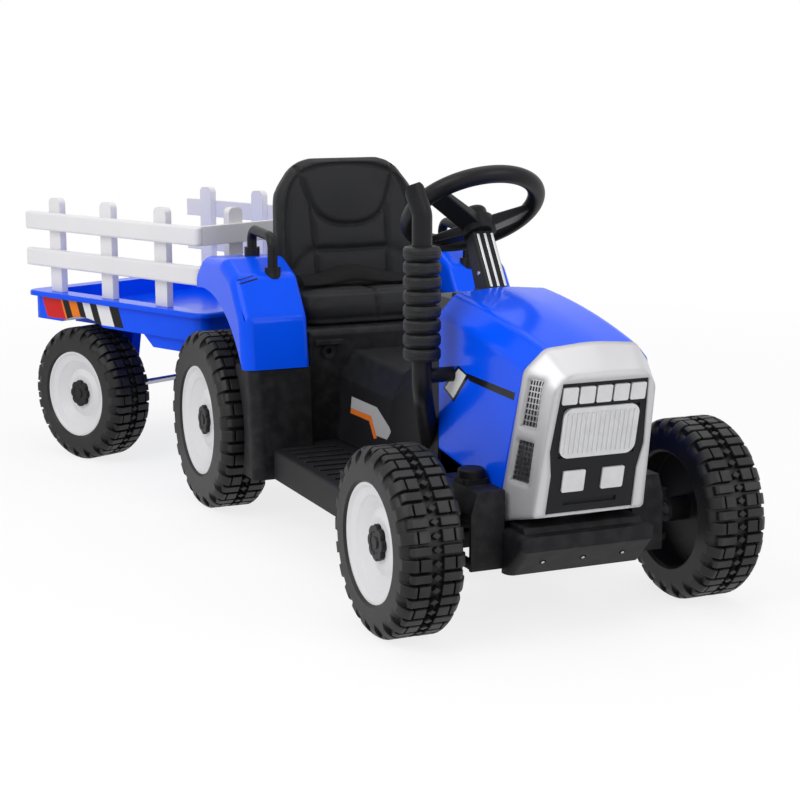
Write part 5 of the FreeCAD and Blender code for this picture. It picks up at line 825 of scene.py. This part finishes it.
def lobed_ring(name, place, centre, side, body):
    """Lobed edge of a hub cap: a flower outline standing round the cap, with a low boss in its middle."""
    angles = [2 * math.pi * step / (LOBES * LOBE_STEPS) for step in range(LOBES * LOBE_STEPS)]
    x, y, z = centre
    shape = bmesh.new()

    def ring(out, radii):
        across = (y + out) * side
        return [shape.verts.new(place(x + radius * math.cos(angle), across, z + radius * math.sin(angle)))
                for radius, angle in zip(radii, angles)]

    def wall(low, high):
        for index in range(len(angles)):
            after = (index + 1) % len(angles)
            shape.faces.new((low[index], low[after], high[after], high[index]))

    edge = [ring(out, [lobe_radius(angle) * share for angle in angles]) for out, share in CAP_LEVELS]
    for low, high in zip(edge[:-1], edge[1:]):
        wall(low, high)
    boss_foot, boss_top = [ring(out, [radius] * len(angles)) for out, radius in BOSS_LEVELS]
    wall(boss_foot, boss_top)
    shape.faces.new(boss_top)
    bmesh.ops.recalc_face_normals(shape, faces=shape.faces[:])
    return new_piece(name, mesh_of(name, shape), black_smooth, body)


for side, word in ((-1, "right"), (1, "left")):
    for axle, place, centre in WHEELS:
        lobed_ring(f"cap_lobes_{axle}_{word}", place, centre, side, f"wheel_{axle}_{word[0]}")

COLUMN_FACE = Vector((93, 0, 61)).normalized()
STRIP_FOOT, STRIP_HEAD = (519.6, 374.2), (479.5, 435.3)
STRIP_PLACES = (-9.5, 0, 9.5)
STRIP_WIDE, STRIP_DEEP = 3.2, 1.4
COLUMN_SCREW = (495, 15.2, 388)
COLUMN_SCREW_RADIUS, COLUMN_SCREW_RISE = 2.8, 1.6
BUMPER_FACE = Vector((1, 0, -1)).normalized()
BUMPER_X, BUMPER_Z = 739.5, 88.5
BUMPER_PLACES = (-52, 0, 52)
HOLE_RADIUS, HOLE_RISE = 4.6, 0.8
SCREW_RADIUS, SCREW_RISE, SCREW_PROUD = 2.4, 0.9, 0.3
for index, y in enumerate(STRIP_PLACES, start=1):
    foot, head = at(STRIP_FOOT[0], y, STRIP_FOOT[1]), at(STRIP_HEAD[0], y, STRIP_HEAD[1])
    bar(f"column_strip_{index}", foot, head, STRIP_WIDE, STRIP_DEEP, chrome, COLUMN_FACE)
for side, word in ((-1, "right"), (1, "left")):
    x, y, z = COLUMN_SCREW
    stud(f"column_screw_{word}", at(x, y * side, z), (0, side, 0), COLUMN_SCREW_RADIUS, COLUMN_SCREW_RISE,
         chrome)
# Each bumper screw stands on a thin near-black disc, painted shade in place of its hole.
for index, y in enumerate(BUMPER_PLACES, start=1):
    centre = at(BUMPER_X, y, BUMPER_Z)
    stud(f"bumper_hole_shade_{index}", centre, BUMPER_FACE, HOLE_RADIUS, HOLE_RISE, painted_hole_shade)
    proud = centre + BUMPER_FACE * SCREW_PROUD * MM
    stud(f"bumper_screw_{index}", proud, BUMPER_FACE, SCREW_RADIUS, SCREW_RISE, steel)

# Camera

CAMERA_MM = (2498.4, -1001.2, 657.4)
CAMERA_YAW = math.radians(156.28)
CAMERA_PITCH = math.radians(-10.86)
CAMERA_LENS, CAMERA_SENSOR = 82.05, 36.0
CLIP_START, CLIP_END = 0.05, 100.0
camera = bpy.data.objects.new("Camera", bpy.data.cameras.new("Camera"))
scene.collection.objects.link(camera)
camera.data.lens = CAMERA_LENS
camera.data.sensor_width = CAMERA_SENSOR
camera.data.clip_start = CLIP_START
camera.data.clip_end = CLIP_END
camera.location = at(*CAMERA_MM)
heading = Vector((math.cos(CAMERA_YAW) * math.cos(CAMERA_PITCH),
                  math.sin(CAMERA_YAW) * math.cos(CAMERA_PITCH),
                  math.sin(CAMERA_PITCH)))
camera.rotation_mode = "QUATERNION"
camera.rotation_quaternion = heading.to_track_quat("-Z", "Y")
scene.camera = camera
scene.view_settings.view_transform = "Standard"

# Floor, world and lamps

FLOOR_HALF = 14.0
FLOOR_ROUGH = 0.9
FLOOR_WHITE = 0.8
FADE_FROM, FADE_TO = 0.9, 2.4
WORLD_LIGHT = 0.5
LAMPS = (
    ("key", (1.2, -2.6, 2.8), (0.0, 0.0, 0.2), 2.4, 62),
    ("fill", (3.2, 1.2, 1.8), (0.2, 0.0, 0.2), 2.0, 34),
    ("top", (-0.4, 0.4, 3.6), (0.0, 0.0, 0.0), 3.0, 33),
)


def seen_directly(tree):
    """One where the ray comes from the camera, a mirror or glass, else nought."""
    path = tree.nodes.new("ShaderNodeLightPath")
    total = tree.nodes.new("ShaderNodeMath")
    total.operation = "MAXIMUM"
    tree.links.new(path.outputs["Is Camera Ray"], total.inputs[0])
    glass = tree.nodes.new("ShaderNodeMath")
    glass.operation = "MAXIMUM"
    tree.links.new(path.outputs["Is Glossy Ray"], glass.inputs[0])
    tree.links.new(path.outputs["Is Transmission Ray"], glass.inputs[1])
    tree.links.new(glass.outputs[0], total.inputs[1])
    return total.outputs[0]


def floor_material():
    """Pale floor that keeps the shadow near the object and fades to white further off."""
    n = Nodes("floor_pale")
    n.set(Base_Color=FLOOR_PALE, Roughness=FLOOR_ROUGH, Specular_IOR_Level=0.0)
    reach = n.tree.nodes.new("ShaderNodeVectorMath")
    reach.operation = "LENGTH"
    n.link(n.place, reach.inputs[0])
    fade = n.spread(reach.outputs["Value"], FADE_FROM, FADE_TO, FLOOR_WHITE, 1.0)
    glow = n.tree.nodes.new("ShaderNodeEmission")
    blend = n.tree.nodes.new("ShaderNodeMixShader")
    n.link(n.math("MULTIPLY", seen_directly(n.tree), fade), blend.inputs[0])
    n.link(n.shader.outputs[0], blend.inputs[1])
    n.link(glow.outputs[0], blend.inputs[2])
    n.link(blend.outputs[0], n.tree.nodes["Material Output"].inputs["Surface"])
    return n.material


floor_mesh = bpy.data.meshes.new("floor")
floor_corners = [(x * FLOOR_HALF, y * FLOOR_HALF, 0) for x, y in ((-1, -1), (1, -1), (1, 1), (-1, 1))]
floor_mesh.from_pydata(floor_corners, [], [(0, 1, 2, 3)])
floor_mesh.materials.append(floor_material())
floor = bpy.data.objects.new("floor", floor_mesh)
scene.collection.objects.link(floor)

world = bpy.data.worlds.new("studio")
world.use_nodes = True
scene.world = world
background = world.node_tree.nodes["Background"]
background.inputs["Color"].default_value = PURE_WHITE
level = world.node_tree.nodes.new("ShaderNodeMapRange")
level.inputs["To Min"].default_value = WORLD_LIGHT
level.inputs["To Max"].default_value = 1.0
world.node_tree.links.new(seen_directly(world.node_tree), level.inputs["Value"])
world.node_tree.links.new(level.outputs["Result"], background.inputs["Strength"])

for name, place, target, size, power in LAMPS:
    lamp = bpy.data.lights.new(name, "AREA")
    lamp.shape = "RECTANGLE"
    lamp.size, lamp.size_y = size, size
    lamp.energy = power
    item = bpy.data.objects.new(name, lamp)
    scene.collection.objects.link(item)
    item.location = place
    item.rotation_mode = "QUATERNION"
    item.rotation_quaternion = (Vector(target) - Vector(place)).to_track_quat("-Z", "Y")
